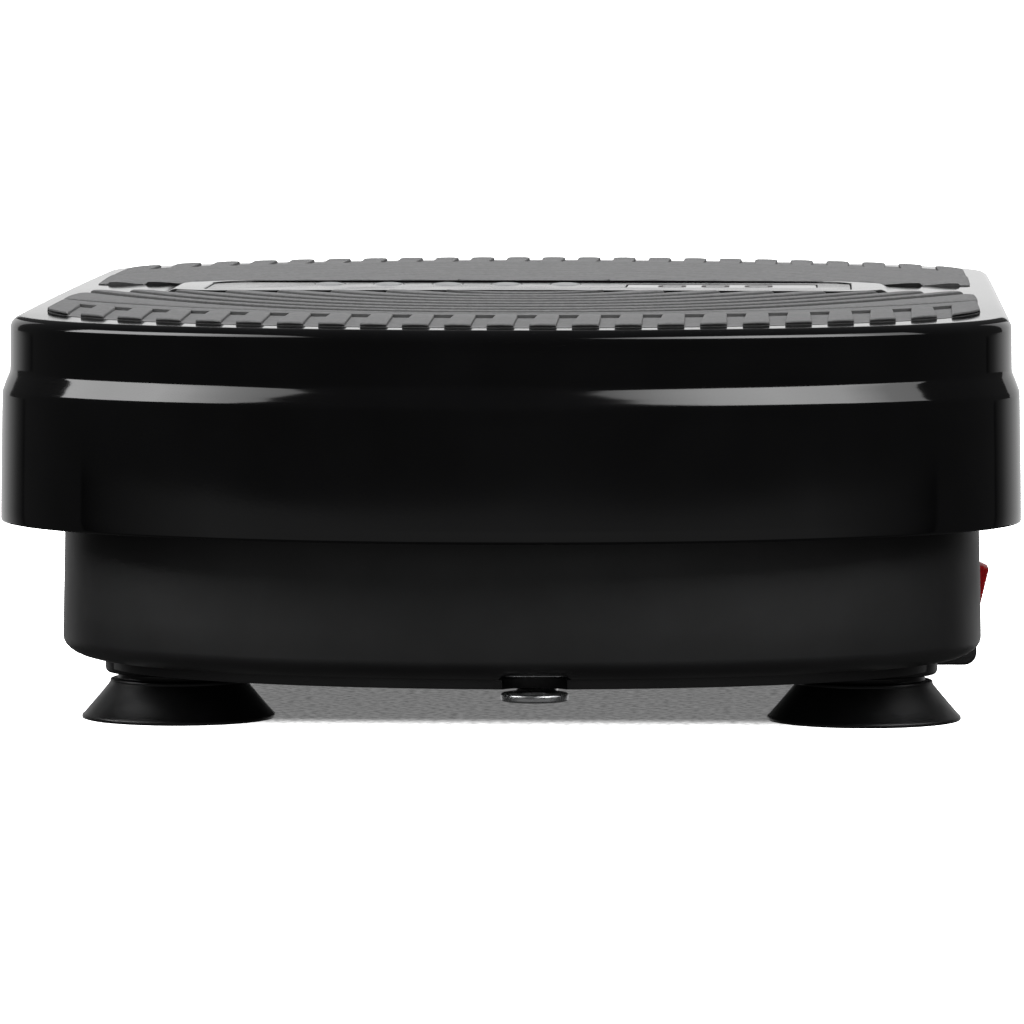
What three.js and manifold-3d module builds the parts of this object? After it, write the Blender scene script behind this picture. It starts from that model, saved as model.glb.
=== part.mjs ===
// Oscillating vibration plate: a platform that rocks on a pivot inside a base tray.
// Millimetres, +Z up, origin on the floor under the middle; +Y is the long axis.
import * as THREE from 'three';
import { mergeVertices } from 'three/addons/utils/BufferGeometryUtils.js';
import Module from 'manifold-3d';

const wasm = await Module();
wasm.setup();

// ---- Driving dimensions --------------------------------------------------------------

const GAP = 0.3;                 // air left between pieces that touch
const LENGTH = 530;
const WIDTH = 310;
const MAT_TOP = 125.4;           // overall height
const COVER_TOP = 123.2;
const COVER_END = 101;           // depth of the cover's half-elliptical end
const SKIRT_BOTTOM = 60.6;
const SKIRT_TOP = 101;           // foot of the sloped step round the cover
const STEP_TOP = 106.2;
const STEP_INSET = 2.3;
const SKIRT_DRAFT = 0.6;         // how far the cover leans in by the foot of its step
const COVER_DRAFT = 0.9;         // and by its top
const COVER_WALL = 3;
const COVER_EDGE = 3.4;          // rounding of the cover's top edge

const MAT_HALF_WIDTH = 143;
const MAT_HALF_LENGTH = 246;
const MAT_END = 108;
const MAT_INNER_SIDE = 33;       // mat's inner edge beside the control panel
const MAT_INNER_MIDDLE = 40;     // and where it passes the panel
const LUG_PITCH = 12.5;
const LUG_SLOT = 4.2;            // gap between two lugs
const LUG_SLOT_DEPTH = 1;
const LUG_LENGTH = 48;
const LUG_SLOTS = 22;

const PANEL_HALF_WIDTH = 104;
const PANEL_HALF_DEPTH = 36;
const PANEL_CORNER = 16;
const PANEL_SINK = 1.1;          // panel face below the cover's top
const PANEL_FLANGE = 5;
const BUTTON_COUNT = 5;
const BUTTON_RADIUS = 4.75;
const BUTTON_PITCH = 19.2;
const BUTTON_FIRST_X = -65.8;
const BUTTON_Y = 20;
const BUTTON_RISE = 0.6;
const WINDOW_X = 62;
const WINDOW_Y = 8;
const WINDOW_WIDTH = 62;
const WINDOW_DEPTH = 24;

const TRAY_SHIFT = 3.1;          // the tray and its feet stand a little to the right
const TRAY_HALF_WIDTH = 140;
const TRAY_HALF_LENGTH = 249;
const TRAY_END = 93;
const TRAY_BOTTOM = 15.5;
const TRAY_TOP = 74;
const TRAY_WALL = 3;
const TRAY_FILLET_SIDE = 12;
const TRAY_FILLET_RISE = 6.5;
const TRAY_SOLE = 3;             // depth of the flat sole under the tray's rounded edge
const TRAY_SOLE_INSET = 13.5;
const CHASSIS_THICK = 3;

const FOOT_X = 104.4;            // from the tray's own middle
const FOOT_Y = 162;
const FOOT_RIM = 29.5;
const FOOT_RIM_FLAT = 2;
const FOOT_CROWN = 20.6;
const FOOT_NECK = 18.5;
const FOOT_TOP = 13.7;
const FOOT_SHOULDER = 12;
const BOSS_RADIUS = 22;
const BOLT_RADIUS = 3;

const RING_X = 10;
const RING_Y = 240;
const RING_OUTER = 10;
const RING_INNER = 5.5;
const RING_LOW = 12.7;
const RING_HIGH = 15.1;
const RING_ROOM = 0.7;           // round the ring, in the pocket that it sits under
const RING_POCKET_TOP = 20.5;

const PIVOT_Z = 60;
const PIVOT_RADIUS = 8;
const RAIL_X = 85;
const RAIL_SIZE = 20;
const RAIL_WALL = 2;
const RAIL_LOW = 93;
const RAIL_HIGH = 110;
const RAIL_HALF_LENGTH = 190;
const SCREW_Y = 150;

const CRANK_Y = 75;
const CRANK_Z = 46;
const CRANK_RADIUS = 5;
const CRANK_THROW = 1.6;
const ECCENTRIC_RADIUS = 10;
const WRIST_Z = 73;
const WRIST_RADIUS = 4;
const ROD_SMALL_BORE = 8.2;      // open pivot: wide enough for throw and rock together
const ROD_SMALL_OUTER = 11.5;
const ROD_BIG_OUTER = 17;
const ROD_WIDTH = 12;

const MOTOR_Y = -75;
const MOTOR_Z = 56;
const MOTOR_RADIUS = 30;
const MOTOR_LOW_X = -62;
const MOTOR_HIGH_X = 28;
const MOTOR_SHAFT = 5;
const BELT_X = 55;
const BELT_WIDTH = 10;
const BELT_THICK = 2;
const MOTOR_PULLEY = 10.5;
const CRANK_PULLEY = 21;
const PULLEY_FLANGE = 3;

const ENTRY_Y = -86;             // middle of the mains inlet and rocker module
const ENTRY_HALF_LENGTH = 25;
const ENTRY_LOW = 12;
const ENTRY_HIGH = 44.8;
const ENTRY_FACE_X = 139.6;
const ENTRY_BACK_X = 112;
const ENTRY_CORNER = 4;          // rounding of its lower outer edge
const ROCKER_X = 137.1;
const ROCKER_Y = -73;
const ROCKER_Z = 28.4;
const ROCKER_TILT = 9;           // degrees, upper half standing out
const ROCKER_FACE_ANGLE = 4.4;   // each half of its face leans this far out
const ROCKER_FACE_X = 4;         // middle of the face from its pivot
const ROCKER_HALF_HEIGHT = 12;
const ROCKER_DEPTH = 7;
const ROCKER_WIDTH = 20;
const SOCKET_Y = -98.5;
const SOCKET_WIDTH = 18;
const SOCKET_HEIGHT = 24;
const SOCKET_DEPTH = 18;

const OVAL_STEPS = 22;           // chords round one half-elliptical end
const ROUND_STEPS = 24;          // chords round a turned piece

const PANEL_FLANGE_THICK = 2.5;
const BOARD_THICK = 1.6;
const BOARD_STANDOFF = 3.1;       // display board's top above the rails
const DISPLAY_BOARD_LOW_X = -90;
const DISPLAY_BOARD_HIGH_X = 98;
const DISPLAY_BOARD_LOW_Y = -28;
const DISPLAY_BOARD_HIGH_Y = 30;
const DISPLAY_HALF_WIDTH = 26;
const DISPLAY_HALF_DEPTH = 9;
const SWITCH_HALF = 3;
const BUTTON_STROKE_ROOM = 2.2;   // between a button and its switch board
const BUTTON_LIP = 1.5;
const BUTTON_LIP_THICK = 1.2;

const SCREW_RADIUS = 2.5;
const SCREW_HEAD_RADIUS = 4.6;
const SCREW_HEAD_FACE = 3.4;
const SCREW_HEAD_HEIGHT = 3;

const CRANK_BEARING_FOOT = 18;
const CRANK_BEARING_HEAD = 11;
const MOTOR_CHAMFER = 3;
const MOTOR_BOSS = 3;             // height of the boss on the motor's drive end
const MOTOR_BOSS_RADIUS = 12;
const MOTOR_BORE_DEPTH = 12;
const MOTOR_SHAFT_PAST_BELT = 9;
const SADDLE_INSET = 11;
const SADDLE_HALF_DEPTH = 28;
const SADDLE_TOP = 42;

const CHASSIS_HALF_WIDTH = 122;
const CHASSIS_HALF_LENGTH = 230;
const CHASSIS_END = 84;
const BOLT_LOW = 9;
const BOLT_HEAD = 5.8;
const BOLT_HEAD_HEIGHT = 4;
const RING_TONGUE_HALF = 6;
const RING_TONGUE_LENGTH = 34;
const PIN_LENGTH = 11;

// ---- Finishes ------------------------------------------------------------------------

const finish = (color, roughness, metalness = 0) => ({ color, roughness, metalness });
const GLOSS_BLACK = finish(0x070708, 0.08);
const MATTE_BLACK = finish(0x1b1b1c, 0.6);
const GREY_RUBBER = finish(0x828282, 0.85);
const BLACK_RUBBER = finish(0x101010, 0.5);
const STEEL = finish(0x9a9da0, 0.35, 1);
const PAINTED_STEEL = finish(0x2a2c2e, 0.5, 0.4);
const BRASS = finish(0xb08d4a, 0.35, 1);
const RED_PLASTIC = finish(0xaa1015, 0.35);
const SMOKED = finish(0x151518, 0.05);
const SILVER_BUTTON = finish(0xc8c9ca, 0.25, 0.5);
const BOARD_GREEN = finish(0x1d5a34, 0.6);

// ---- Shapes and solids ---------------------------------------------------------------

/** Points round an oval: two straight sides joined by half-ellipses. */
function ovalPoints(halfWidth, halfLength, endDepth) {
  const points = [];
  const straight = halfLength - endDepth;
  for (const end of [1, -1]) {
    for (let step = 0; step <= OVAL_STEPS; step += 1) {
      const turn = (step / OVAL_STEPS) * Math.PI;
      const along = straight + endDepth * Math.sin(turn);
      points.push(new THREE.Vector2(end * halfWidth * Math.cos(turn), end * along));
    }
  }
  return points;
}

/** A closed body whose oval section changes with height; sections run from low to high. */
function ovalStack(halfWidth, halfLength, endDepth, sections) {
  const positions = [];
  const index = [];
  const count = 2 * (OVAL_STEPS + 1);
  for (const { inset, z } of sections) {
    for (const point of ovalPoints(halfWidth - inset, halfLength - inset, endDepth - inset)) {
      positions.push(point.x, point.y, z);
    }
  }
  for (let level = 0; level + 1 < sections.length; level += 1) {
    for (let side = 0; side < count; side += 1) {
      const here = level * count + side;
      const next = level * count + ((side + 1) % count);
      index.push(here, next, next + count, here, next + count, here + count);
    }
  }
  const top = (sections.length - 1) * count;
  for (let side = 1; side + 1 < count; side += 1) {
    index.push(0, side + 1, side);
    index.push(top, top + side, top + side + 1);
  }
  const geometry = new THREE.BufferGeometry();
  geometry.setAttribute('position', new THREE.Float32BufferAttribute(positions, 3));
  geometry.setIndex(index);
  return geometry;
}

/** A flat outline given thickness from low to high. */
function slab(shape, low, high, curveSegments = 6) {
  const geometry = new THREE.ExtrudeGeometry(shape, {
    depth: high - low,
    bevelEnabled: false,
    curveSegments,
  });
  return geometry.translate(0, 0, low);
}

/** An outline drawn in (y, z) and given thickness along X. */
function slabAlongX(shape, low, high, curveSegments = 6) {
  const geometry = slab(shape, low, high, curveSegments);
  const turn = new THREE.Matrix4().makeBasis(
    new THREE.Vector3(0, 1, 0),
    new THREE.Vector3(0, 0, 1),
    new THREE.Vector3(1, 0, 0),
  );
  return geometry.applyMatrix4(turn);
}

/** An outline drawn in (z, x) and given thickness along Y. */
function slabAlongY(shape, low, high, curveSegments = 6) {
  const geometry = slab(shape, low, high, curveSegments);
  const turn = new THREE.Matrix4().makeBasis(
    new THREE.Vector3(0, 0, 1),
    new THREE.Vector3(1, 0, 0),
    new THREE.Vector3(0, 1, 0),
  );
  return geometry.applyMatrix4(turn);
}

function block(lowX, highX, lowY, highY, lowZ, highZ) {
  const geometry = new THREE.BoxGeometry(highX - lowX, highY - lowY, highZ - lowZ);
  return geometry.translate((lowX + highX) / 2, (lowY + highY) / 2, (lowZ + highZ) / 2);
}

/** A round bar along Z. */
function barZ(radius, x, y, low, high, steps = ROUND_STEPS) {
  const geometry = new THREE.CylinderGeometry(radius, radius, high - low, steps);
  return geometry.rotateX(Math.PI / 2).translate(x, y, (low + high) / 2);
}

/** A round bar along X. */
function barX(radius, low, high, y, z, steps = ROUND_STEPS) {
  const geometry = new THREE.CylinderGeometry(radius, radius, high - low, steps);
  return geometry.rotateZ(Math.PI / 2).translate((low + high) / 2, y, z);
}

/** A round bar along Y. */
function barY(radius, x, low, high, z, steps = ROUND_STEPS) {
  const geometry = new THREE.CylinderGeometry(radius, radius, high - low, steps);
  return geometry.translate(x, (low + high) / 2, z);
}

/** A profile of [radius, height] pairs, from low to high, turned about Z. */
function turned(profile, steps = ROUND_STEPS) {
  const points = profile.map(([radius, height]) => new THREE.Vector2(radius, height));
  return new THREE.LatheGeometry(points, steps).rotateX(Math.PI / 2);
}

function roundedRectangle(halfX, halfY, corner, x = 0, y = 0) {
  const shape = new THREE.Shape();
  shape.absarc(x + halfX - corner, y + halfY - corner, corner, 0, Math.PI / 2);
  shape.absarc(x - halfX + corner, y + halfY - corner, corner, Math.PI / 2, Math.PI);
  shape.absarc(x - halfX + corner, y - halfY + corner, corner, Math.PI, Math.PI * 1.5);
  shape.absarc(x + halfX - corner, y - halfY + corner, corner, Math.PI * 1.5, Math.PI * 2);
  return shape;
}

/** The outline of a band drawn tight round two circles whose centres lie along +X of it. */
function bandShape(x1, y1, radius1, x2, y2, radius2) {
  const heading = Math.atan2(y2 - y1, x2 - x1);
  const spread = Math.acos((radius1 - radius2) / Math.hypot(x2 - x1, y2 - y1));
  const shape = new THREE.Shape();
  shape.absarc(x1, y1, radius1, heading + spread, heading - spread + 2 * Math.PI);
  shape.absarc(x2, y2, radius2, heading - spread, heading + spread);
  return shape;
}

function toSolid(geometry) {
  const bare = geometry.clone();
  bare.deleteAttribute('normal');
  bare.deleteAttribute('uv');
  const merged = mergeVertices(bare);
  return new wasm.Manifold(new wasm.Mesh({
    numProp: 3,
    vertProperties: Float32Array.from(merged.attributes.position.array),
    triVerts: Uint32Array.from(merged.index.array),
  }));
}

function toGeometry(solid) {
  const mesh = solid.getMesh();
  const geometry = new THREE.BufferGeometry();
  geometry.setAttribute('position', new THREE.BufferAttribute(mesh.vertProperties, 3));
  geometry.setIndex(new THREE.BufferAttribute(mesh.triVerts, 1));
  geometry.computeVertexNormals();
  return geometry;
}

const cut = (body, ...tools) => toGeometry(
  tools.reduce((solid, tool) => solid.subtract(toSolid(tool)), toSolid(body)),
);
const join = (...bodies) => toGeometry(
  bodies.map(toSolid).reduce((solid, other) => solid.add(other)),
);

// ---- The assembly --------------------------------------------------------------------

const plate = new THREE.Group();

function add(name, geometry, look) {
  const mesh = new THREE.Mesh(geometry, new THREE.MeshStandardMaterial(look));
  mesh.name = name;
  plate.add(mesh);
}

const SIDES = [['left', -1], ['right', 1]];
const CORNERS = [[-1, -1], [1, -1], [-1, 1], [1, 1]];
const panelFace = COVER_TOP - PANEL_SINK;
const ceiling = COVER_TOP - COVER_WALL;
const trayFloor = TRAY_BOTTOM + TRAY_WALL;
const chassisTop = trayFloor + GAP + CHASSIS_THICK;

// ---- Top cover -----------------------------------------------------------------------

function topCover() {
  const halfWidth = WIDTH / 2;
  const halfLength = LENGTH / 2;
  const edgeLow = COVER_TOP - COVER_EDGE;
  const edgeMiddle = COVER_TOP - COVER_EDGE * (1 - Math.SQRT1_2);
  const outside = ovalStack(halfWidth, halfLength, COVER_END, [
    { inset: 0, z: SKIRT_BOTTOM },
    { inset: SKIRT_DRAFT, z: SKIRT_TOP },
    { inset: SKIRT_DRAFT + STEP_INSET, z: STEP_TOP },
    { inset: COVER_DRAFT + STEP_INSET, z: edgeLow },
    { inset: COVER_DRAFT + STEP_INSET + COVER_EDGE * (1 - Math.SQRT1_2), z: edgeMiddle },
    { inset: COVER_DRAFT + STEP_INSET + COVER_EDGE, z: COVER_TOP },
  ]);
  const inside = ovalStack(halfWidth, halfLength, COVER_END, [
    { inset: COVER_WALL, z: SKIRT_BOTTOM - 1 },
    { inset: COVER_WALL + SKIRT_DRAFT, z: SKIRT_TOP },
    { inset: COVER_WALL + SKIRT_DRAFT + STEP_INSET, z: STEP_TOP },
    { inset: COVER_WALL + COVER_DRAFT + STEP_INSET, z: ceiling },
  ]);
  const window = roundedRectangle(PANEL_HALF_WIDTH, PANEL_HALF_DEPTH, PANEL_CORNER);
  const shell = cut(outside, inside, slab(window, ceiling - 1, COVER_TOP + 1));
  const bosses = CORNERS.map(([sideX, sideY]) => cut(
    barZ(6, sideX * RAIL_X, sideY * SCREW_Y, RAIL_HIGH + GAP, ceiling + 1, 16),
    barZ(2.5 + GAP, sideX * RAIL_X, sideY * SCREW_Y, RAIL_HIGH, ceiling - 1, 12),
  ));
  return join(shell, ...bosses);
}
add('top_cover', topCover(), GLOSS_BLACK);

// ---- Foot mats -----------------------------------------------------------------------

/** The mat at one end: an oval end cut off along a waved inner edge. */
function matShape(end) {
  const shape = new THREE.Shape();
  const straight = MAT_HALF_LENGTH - MAT_END;
  shape.moveTo(MAT_HALF_WIDTH, end * MAT_INNER_SIDE);
  for (let step = 0; step <= OVAL_STEPS; step += 1) {
    const turn = (step / OVAL_STEPS) * Math.PI;
    const along = straight + MAT_END * Math.sin(turn);
    shape.lineTo(MAT_HALF_WIDTH * Math.cos(turn), end * along);
  }
  shape.lineTo(-MAT_HALF_WIDTH, end * MAT_INNER_SIDE);
  for (const side of [-1, 1]) {
    const ramp = [PANEL_HALF_WIDTH + 14, PANEL_HALF_WIDTH];
    const levels = [MAT_INNER_SIDE, MAT_INNER_MIDDLE];
    const order = side < 0 ? [0, 1] : [1, 0];
    for (const which of order) {
      shape.lineTo(side * ramp[which], end * levels[which]);
    }
  }
  return shape;
}

function mat(end) {
  const slots = [];
  const reach = MAT_HALF_LENGTH + 1;
  for (let slot = 0; slot < LUG_SLOTS; slot += 1) {
    const x = (slot + 0.5 - LUG_SLOTS / 2) * LUG_PITCH;
    const edge = MAT_HALF_LENGTH - MAT_END * (1 - Math.sqrt(1 - (x / MAT_HALF_WIDTH) ** 2));
    const root = edge - LUG_LENGTH;
    const [lowY, highY] = end > 0 ? [root, reach] : [-reach, -root];
    slots.push(block(
      x - LUG_SLOT / 2, x + LUG_SLOT / 2, lowY, highY, MAT_TOP - LUG_SLOT_DEPTH, MAT_TOP + 1,
    ));
  }
  return cut(slab(matShape(end), COVER_TOP + GAP, MAT_TOP), ...slots);
}
add('mat_front', mat(-1), GREY_RUBBER);
add('mat_back', mat(1), GREY_RUBBER);

// ---- Control panel -------------------------------------------------------------------

const buttonX = (number) => BUTTON_FIRST_X + number * BUTTON_PITCH;
const flangeTop = ceiling - GAP;
const flangeLow = flangeTop - PANEL_FLANGE_THICK;
const boardTop = RAIL_HIGH + BOARD_STANDOFF;

function controlPanel() {
  const face = roundedRectangle(
    PANEL_HALF_WIDTH - GAP, PANEL_HALF_DEPTH - GAP, PANEL_CORNER - GAP,
  );
  const flange = roundedRectangle(
    PANEL_HALF_WIDTH + PANEL_FLANGE, PANEL_HALF_DEPTH + PANEL_FLANGE, PANEL_CORNER,
  );
  const holes = [];
  for (let number = 0; number < BUTTON_COUNT; number += 1) {
    holes.push(barZ(
      BUTTON_RADIUS + GAP, buttonX(number), BUTTON_Y, flangeLow - 1, panelFace + 1, 20,
    ));
  }
  const opening = roundedRectangle(WINDOW_WIDTH / 2, WINDOW_DEPTH / 2, 3, WINDOW_X, WINDOW_Y);
  const body = join(slab(face, flangeLow, panelFace), slab(flange, flangeLow, flangeTop));
  return cut(body, slab(opening, flangeLow - 1, panelFace + 1), ...holes);
}
add('control_panel', controlPanel(), GLOSS_BLACK);

const windowShape = roundedRectangle(
  WINDOW_WIDTH / 2 - GAP, WINDOW_DEPTH / 2 - GAP, 3 - GAP, WINDOW_X, WINDOW_Y,
);
add('display_window', slab(windowShape, flangeLow, panelFace - 0.1), SMOKED);

/** Circuit board with a switch under each button and the display under its window. */
function displayBoard() {
  const board = block(
    DISPLAY_BOARD_LOW_X, DISPLAY_BOARD_HIGH_X, DISPLAY_BOARD_LOW_Y, DISPLAY_BOARD_HIGH_Y,
    boardTop - BOARD_THICK, boardTop,
  );
  const parts = [];
  for (let number = 0; number < BUTTON_COUNT; number += 1) {
    const x = buttonX(number);
    parts.push(block(
      x - SWITCH_HALF, x + SWITCH_HALF, BUTTON_Y - SWITCH_HALF, BUTTON_Y + SWITCH_HALF,
      boardTop - 1, boardTop + 1,
    ));
  }
  parts.push(block(
    WINDOW_X - DISPLAY_HALF_WIDTH, WINDOW_X + DISPLAY_HALF_WIDTH,
    WINDOW_Y - DISPLAY_HALF_DEPTH, WINDOW_Y + DISPLAY_HALF_DEPTH, boardTop - 1, flangeLow - 1,
  ));
  return join(board, ...parts);
}
add('display_board', displayBoard(), BOARD_GREEN);

function button(number) {
  const low = boardTop + BUTTON_STROKE_ROOM;
  const shoulder = low + BUTTON_LIP_THICK;
  const profile = [
    [0, low],
    [BUTTON_RADIUS + BUTTON_LIP, low],
    [BUTTON_RADIUS + BUTTON_LIP, shoulder],
    [BUTTON_RADIUS, shoulder],
    [BUTTON_RADIUS, panelFace],
    [BUTTON_RADIUS * 0.7, panelFace + BUTTON_RISE * 0.7],
    [0, panelFace + BUTTON_RISE],
  ];
  return turned(profile, 20).translate(buttonX(number), BUTTON_Y, 0);
}
for (let number = 0; number < BUTTON_COUNT; number += 1) {
  add(`button_${number + 1}`, button(number), SILVER_BUTTON);
}

// ---- Platform frame ------------------------------------------------------------------

function rail(side) {
  const x = side * RAIL_X;
  const half = RAIL_SIZE / 2;
  const outer = block(
    x - half, x + half, -RAIL_HALF_LENGTH, RAIL_HALF_LENGTH, RAIL_LOW, RAIL_HIGH,
  );
  const core = block(
    x - half + RAIL_WALL, x + half - RAIL_WALL, -RAIL_HALF_LENGTH - 1, RAIL_HALF_LENGTH + 1,
    RAIL_LOW + RAIL_WALL, RAIL_HIGH - RAIL_WALL,
  );
  const holes = [-1, 1].map((end) => (
    barZ(2.5 + GAP, x, end * SCREW_Y, RAIL_LOW - 1, RAIL_HIGH + 1, 12)
  ));
  return cut(outer, core, ...holes);
}
for (const [name, side] of SIDES) {
  add(`rail_${name}`, rail(side), PAINTED_STEEL);
}

function crossbar(y) {
  const reach = RAIL_X - RAIL_SIZE / 2 - GAP;
  const half = RAIL_SIZE / 2;
  return cut(
    block(-reach, reach, y - half, y + half, RAIL_LOW, RAIL_HIGH),
    block(
      -reach - 1, reach + 1, y - half + RAIL_WALL, y + half - RAIL_WALL,
      RAIL_LOW + RAIL_WALL, RAIL_HIGH - RAIL_WALL,
    ),
  );
}
add('crossbar_front', crossbar(-120), PAINTED_STEEL);
add('crossbar_crank', crossbar(CRANK_Y), PAINTED_STEEL);

function coverScrew(sideX, sideY) {
  const headTop = RAIL_LOW - GAP;
  const profile = [
    [0, headTop - SCREW_HEAD_HEIGHT],
    [SCREW_HEAD_FACE, headTop - SCREW_HEAD_HEIGHT],
    [SCREW_HEAD_RADIUS, headTop - SCREW_HEAD_HEIGHT / 2],
    [SCREW_HEAD_RADIUS, headTop],
    [SCREW_RADIUS, headTop],
    [SCREW_RADIUS, ceiling - 2],
    [0, ceiling - 2],
  ];
  return turned(profile, 12).translate(sideX * RAIL_X, sideY * SCREW_Y, 0);
}
CORNERS.forEach(([sideX, sideY], number) => {
  add(`cover_screw_${number + 1}`, coverScrew(sideX, sideY), STEEL);
});

// ---- Rocking pivot -------------------------------------------------------------------

const HANGER_THICK = 10;
const HANGER_HALF_DEPTH = 18;
const BEARING_LOW_X = 94;
const BEARING_HIGH_X = 112;
const BEARING_FOOT = 22;        // half length of a pivot bearing's foot
const BEARING_HEAD = 14;        // radius of its head

/** A plate under the rail with a rounded lower end round the pivot pin. */
function hanger(side) {
  const shape = new THREE.Shape();
  shape.moveTo(HANGER_HALF_DEPTH, RAIL_LOW - GAP);
  shape.lineTo(-HANGER_HALF_DEPTH, RAIL_LOW - GAP);
  shape.absarc(0, PIVOT_Z, HANGER_HALF_DEPTH, Math.PI, 2 * Math.PI);
  const middle = side * RAIL_X;
  const plateBody = slabAlongX(shape, middle - HANGER_THICK / 2, middle + HANGER_THICK / 2, 8);
  return cut(plateBody, barX(
    PIVOT_RADIUS + GAP, middle - HANGER_THICK, middle + HANGER_THICK, 0, PIVOT_Z,
  ));
}

function pivotPin(side) {
  const low = RAIL_X - HANGER_THICK / 2 - 2;
  const [from, to] = side > 0 ? [low, BEARING_HIGH_X + 2] : [-BEARING_HIGH_X - 2, -low];
  return barX(PIVOT_RADIUS, from, to, 0, PIVOT_Z);
}

/** A pedestal on the chassis whose bore carries the pivot pin. */
function pivotBearing(side) {
  const top = new THREE.Shape();
  top.moveTo(-BEARING_FOOT, chassisTop + GAP);
  top.lineTo(BEARING_FOOT, chassisTop + GAP);
  top.lineTo(BEARING_HEAD, PIVOT_Z);
  top.absarc(0, PIVOT_Z, BEARING_HEAD, 0, Math.PI);
  const [low, high] = side > 0
    ? [BEARING_LOW_X, BEARING_HIGH_X] : [-BEARING_HIGH_X, -BEARING_LOW_X];
  return cut(slabAlongX(top, low, high, 8), barX(PIVOT_RADIUS + GAP, low - 1, high + 1, 0, PIVOT_Z));
}
for (const [name, side] of SIDES) {
  add(`pivot_hanger_${name}`, hanger(side), PAINTED_STEEL);
  add(`pivot_pin_${name}`, pivotPin(side), STEEL);
  add(`pivot_bearing_${name}`, pivotBearing(side), PAINTED_STEEL);
}

// ---- Wrist bracket and connecting rod ------------------------------------------------

const EAR_INNER = ROD_WIDTH / 2 + 4;
const EAR_OUTER = EAR_INNER + 4;
const BRACKET_THICK = 3;
const BRACKET_HALF_DEPTH = 14;
const EAR_RADIUS = 9;

function wristBracket() {
  const plateTop = RAIL_LOW - GAP;
  const base = block(
    -EAR_OUTER, EAR_OUTER, CRANK_Y - BRACKET_HALF_DEPTH, CRANK_Y + BRACKET_HALF_DEPTH,
    plateTop - BRACKET_THICK, plateTop,
  );
  const ear = new THREE.Shape();
  ear.moveTo(CRANK_Y + EAR_RADIUS, plateTop - 1);
  ear.lineTo(CRANK_Y - EAR_RADIUS, plateTop - 1);
  ear.absarc(CRANK_Y, WRIST_Z, EAR_RADIUS, Math.PI, 2 * Math.PI);
  const ears = [
    slabAlongX(ear, -EAR_OUTER, -EAR_INNER), slabAlongX(ear, EAR_INNER, EAR_OUTER),
  ];
  const bore = barX(WRIST_RADIUS + GAP, -EAR_OUTER - 1, EAR_OUTER + 1, CRANK_Y, WRIST_Z, 16);
  return cut(join(base, ...ears), bore);
}
add('wrist_bracket', wristBracket(), PAINTED_STEEL);
add('wrist_pin', barX(WRIST_RADIUS, -EAR_OUTER - 3, EAR_OUTER + 3, CRANK_Y, WRIST_Z, 16), STEEL);

function connectingRod() {
  const y = CRANK_Y + CRANK_THROW;
  const half = ROD_WIDTH / 2;
  const body = slabAlongX(
    bandShape(y, CRANK_Z, ROD_BIG_OUTER, y, WRIST_Z, ROD_SMALL_OUTER), -half, half, 10,
  );
  return cut(
    body,
    barX(ECCENTRIC_RADIUS + GAP, -half - 1, half + 1, y, CRANK_Z),
    barX(ROD_SMALL_BORE, -half - 1, half + 1, y, WRIST_Z),
  );
}
add('connecting_rod', connectingRod(), STEEL);

// ---- Crankshaft, motor and belt ------------------------------------------------------

const CRANK_BEARING_X = 32;
const CRANK_BEARING_HALF = 7;

function crankshaft() {
  const half = ROD_WIDTH / 2 + 1.5;
  return join(
    barX(CRANK_RADIUS, -CRANK_BEARING_X - 12, BELT_X + 10, CRANK_Y, CRANK_Z),
    barX(ECCENTRIC_RADIUS, -half, half, CRANK_Y + CRANK_THROW, CRANK_Z),
  );
}
add('crankshaft', crankshaft(), STEEL);

/** A flanged pulley on a shaft along X. */
function pulley(radius, bore, y, z) {
  const groove = BELT_WIDTH / 2 + GAP;
  const flange = groove + 2;
  const profile = [
    [bore, -flange],
    [radius + PULLEY_FLANGE, -flange],
    [radius + PULLEY_FLANGE, -groove],
    [radius, -groove],
    [radius, groove],
    [radius + PULLEY_FLANGE, groove],
    [radius + PULLEY_FLANGE, flange],
    [bore, flange],
    [bore, -flange],
  ];
  return turned(profile).rotateY(Math.PI / 2).translate(BELT_X, y, z);
}
add('crank_pulley', pulley(CRANK_PULLEY, CRANK_RADIUS + GAP, CRANK_Y, CRANK_Z), STEEL);
add('motor_pulley', pulley(MOTOR_PULLEY, MOTOR_SHAFT + GAP, MOTOR_Y, MOTOR_Z), STEEL);

function driveBelt() {
  const loop = (growth) => bandShape(
    MOTOR_Y, MOTOR_Z, MOTOR_PULLEY + growth, CRANK_Y, CRANK_Z, CRANK_PULLEY + growth,
  );
  const low = BELT_X - BELT_WIDTH / 2;
  const high = BELT_X + BELT_WIDTH / 2;
  return cut(
    slabAlongX(loop(GAP + BELT_THICK), low, high, 14),
    slabAlongX(loop(GAP), low - 1, high + 1, 14),
  );
}
add('drive_belt', driveBelt(), BLACK_RUBBER);

/** A pedestal on the chassis whose bore carries the crankshaft. */
function crankBearing(side) {
  const shape = new THREE.Shape();
  shape.moveTo(CRANK_Y - CRANK_BEARING_FOOT, chassisTop + GAP);
  shape.lineTo(CRANK_Y + CRANK_BEARING_FOOT, chassisTop + GAP);
  shape.lineTo(CRANK_Y + CRANK_BEARING_HEAD, CRANK_Z);
  shape.absarc(CRANK_Y, CRANK_Z, CRANK_BEARING_HEAD, 0, Math.PI);
  const middle = side * CRANK_BEARING_X;
  const low = middle - CRANK_BEARING_HALF;
  const high = middle + CRANK_BEARING_HALF;
  return cut(
    slabAlongX(shape, low, high, 8),
    barX(CRANK_RADIUS + GAP, low - 1, high + 1, CRANK_Y, CRANK_Z),
  );
}
for (const [name, side] of SIDES) {
  add(`crank_bearing_${name}`, crankBearing(side), PAINTED_STEEL);
}

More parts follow.
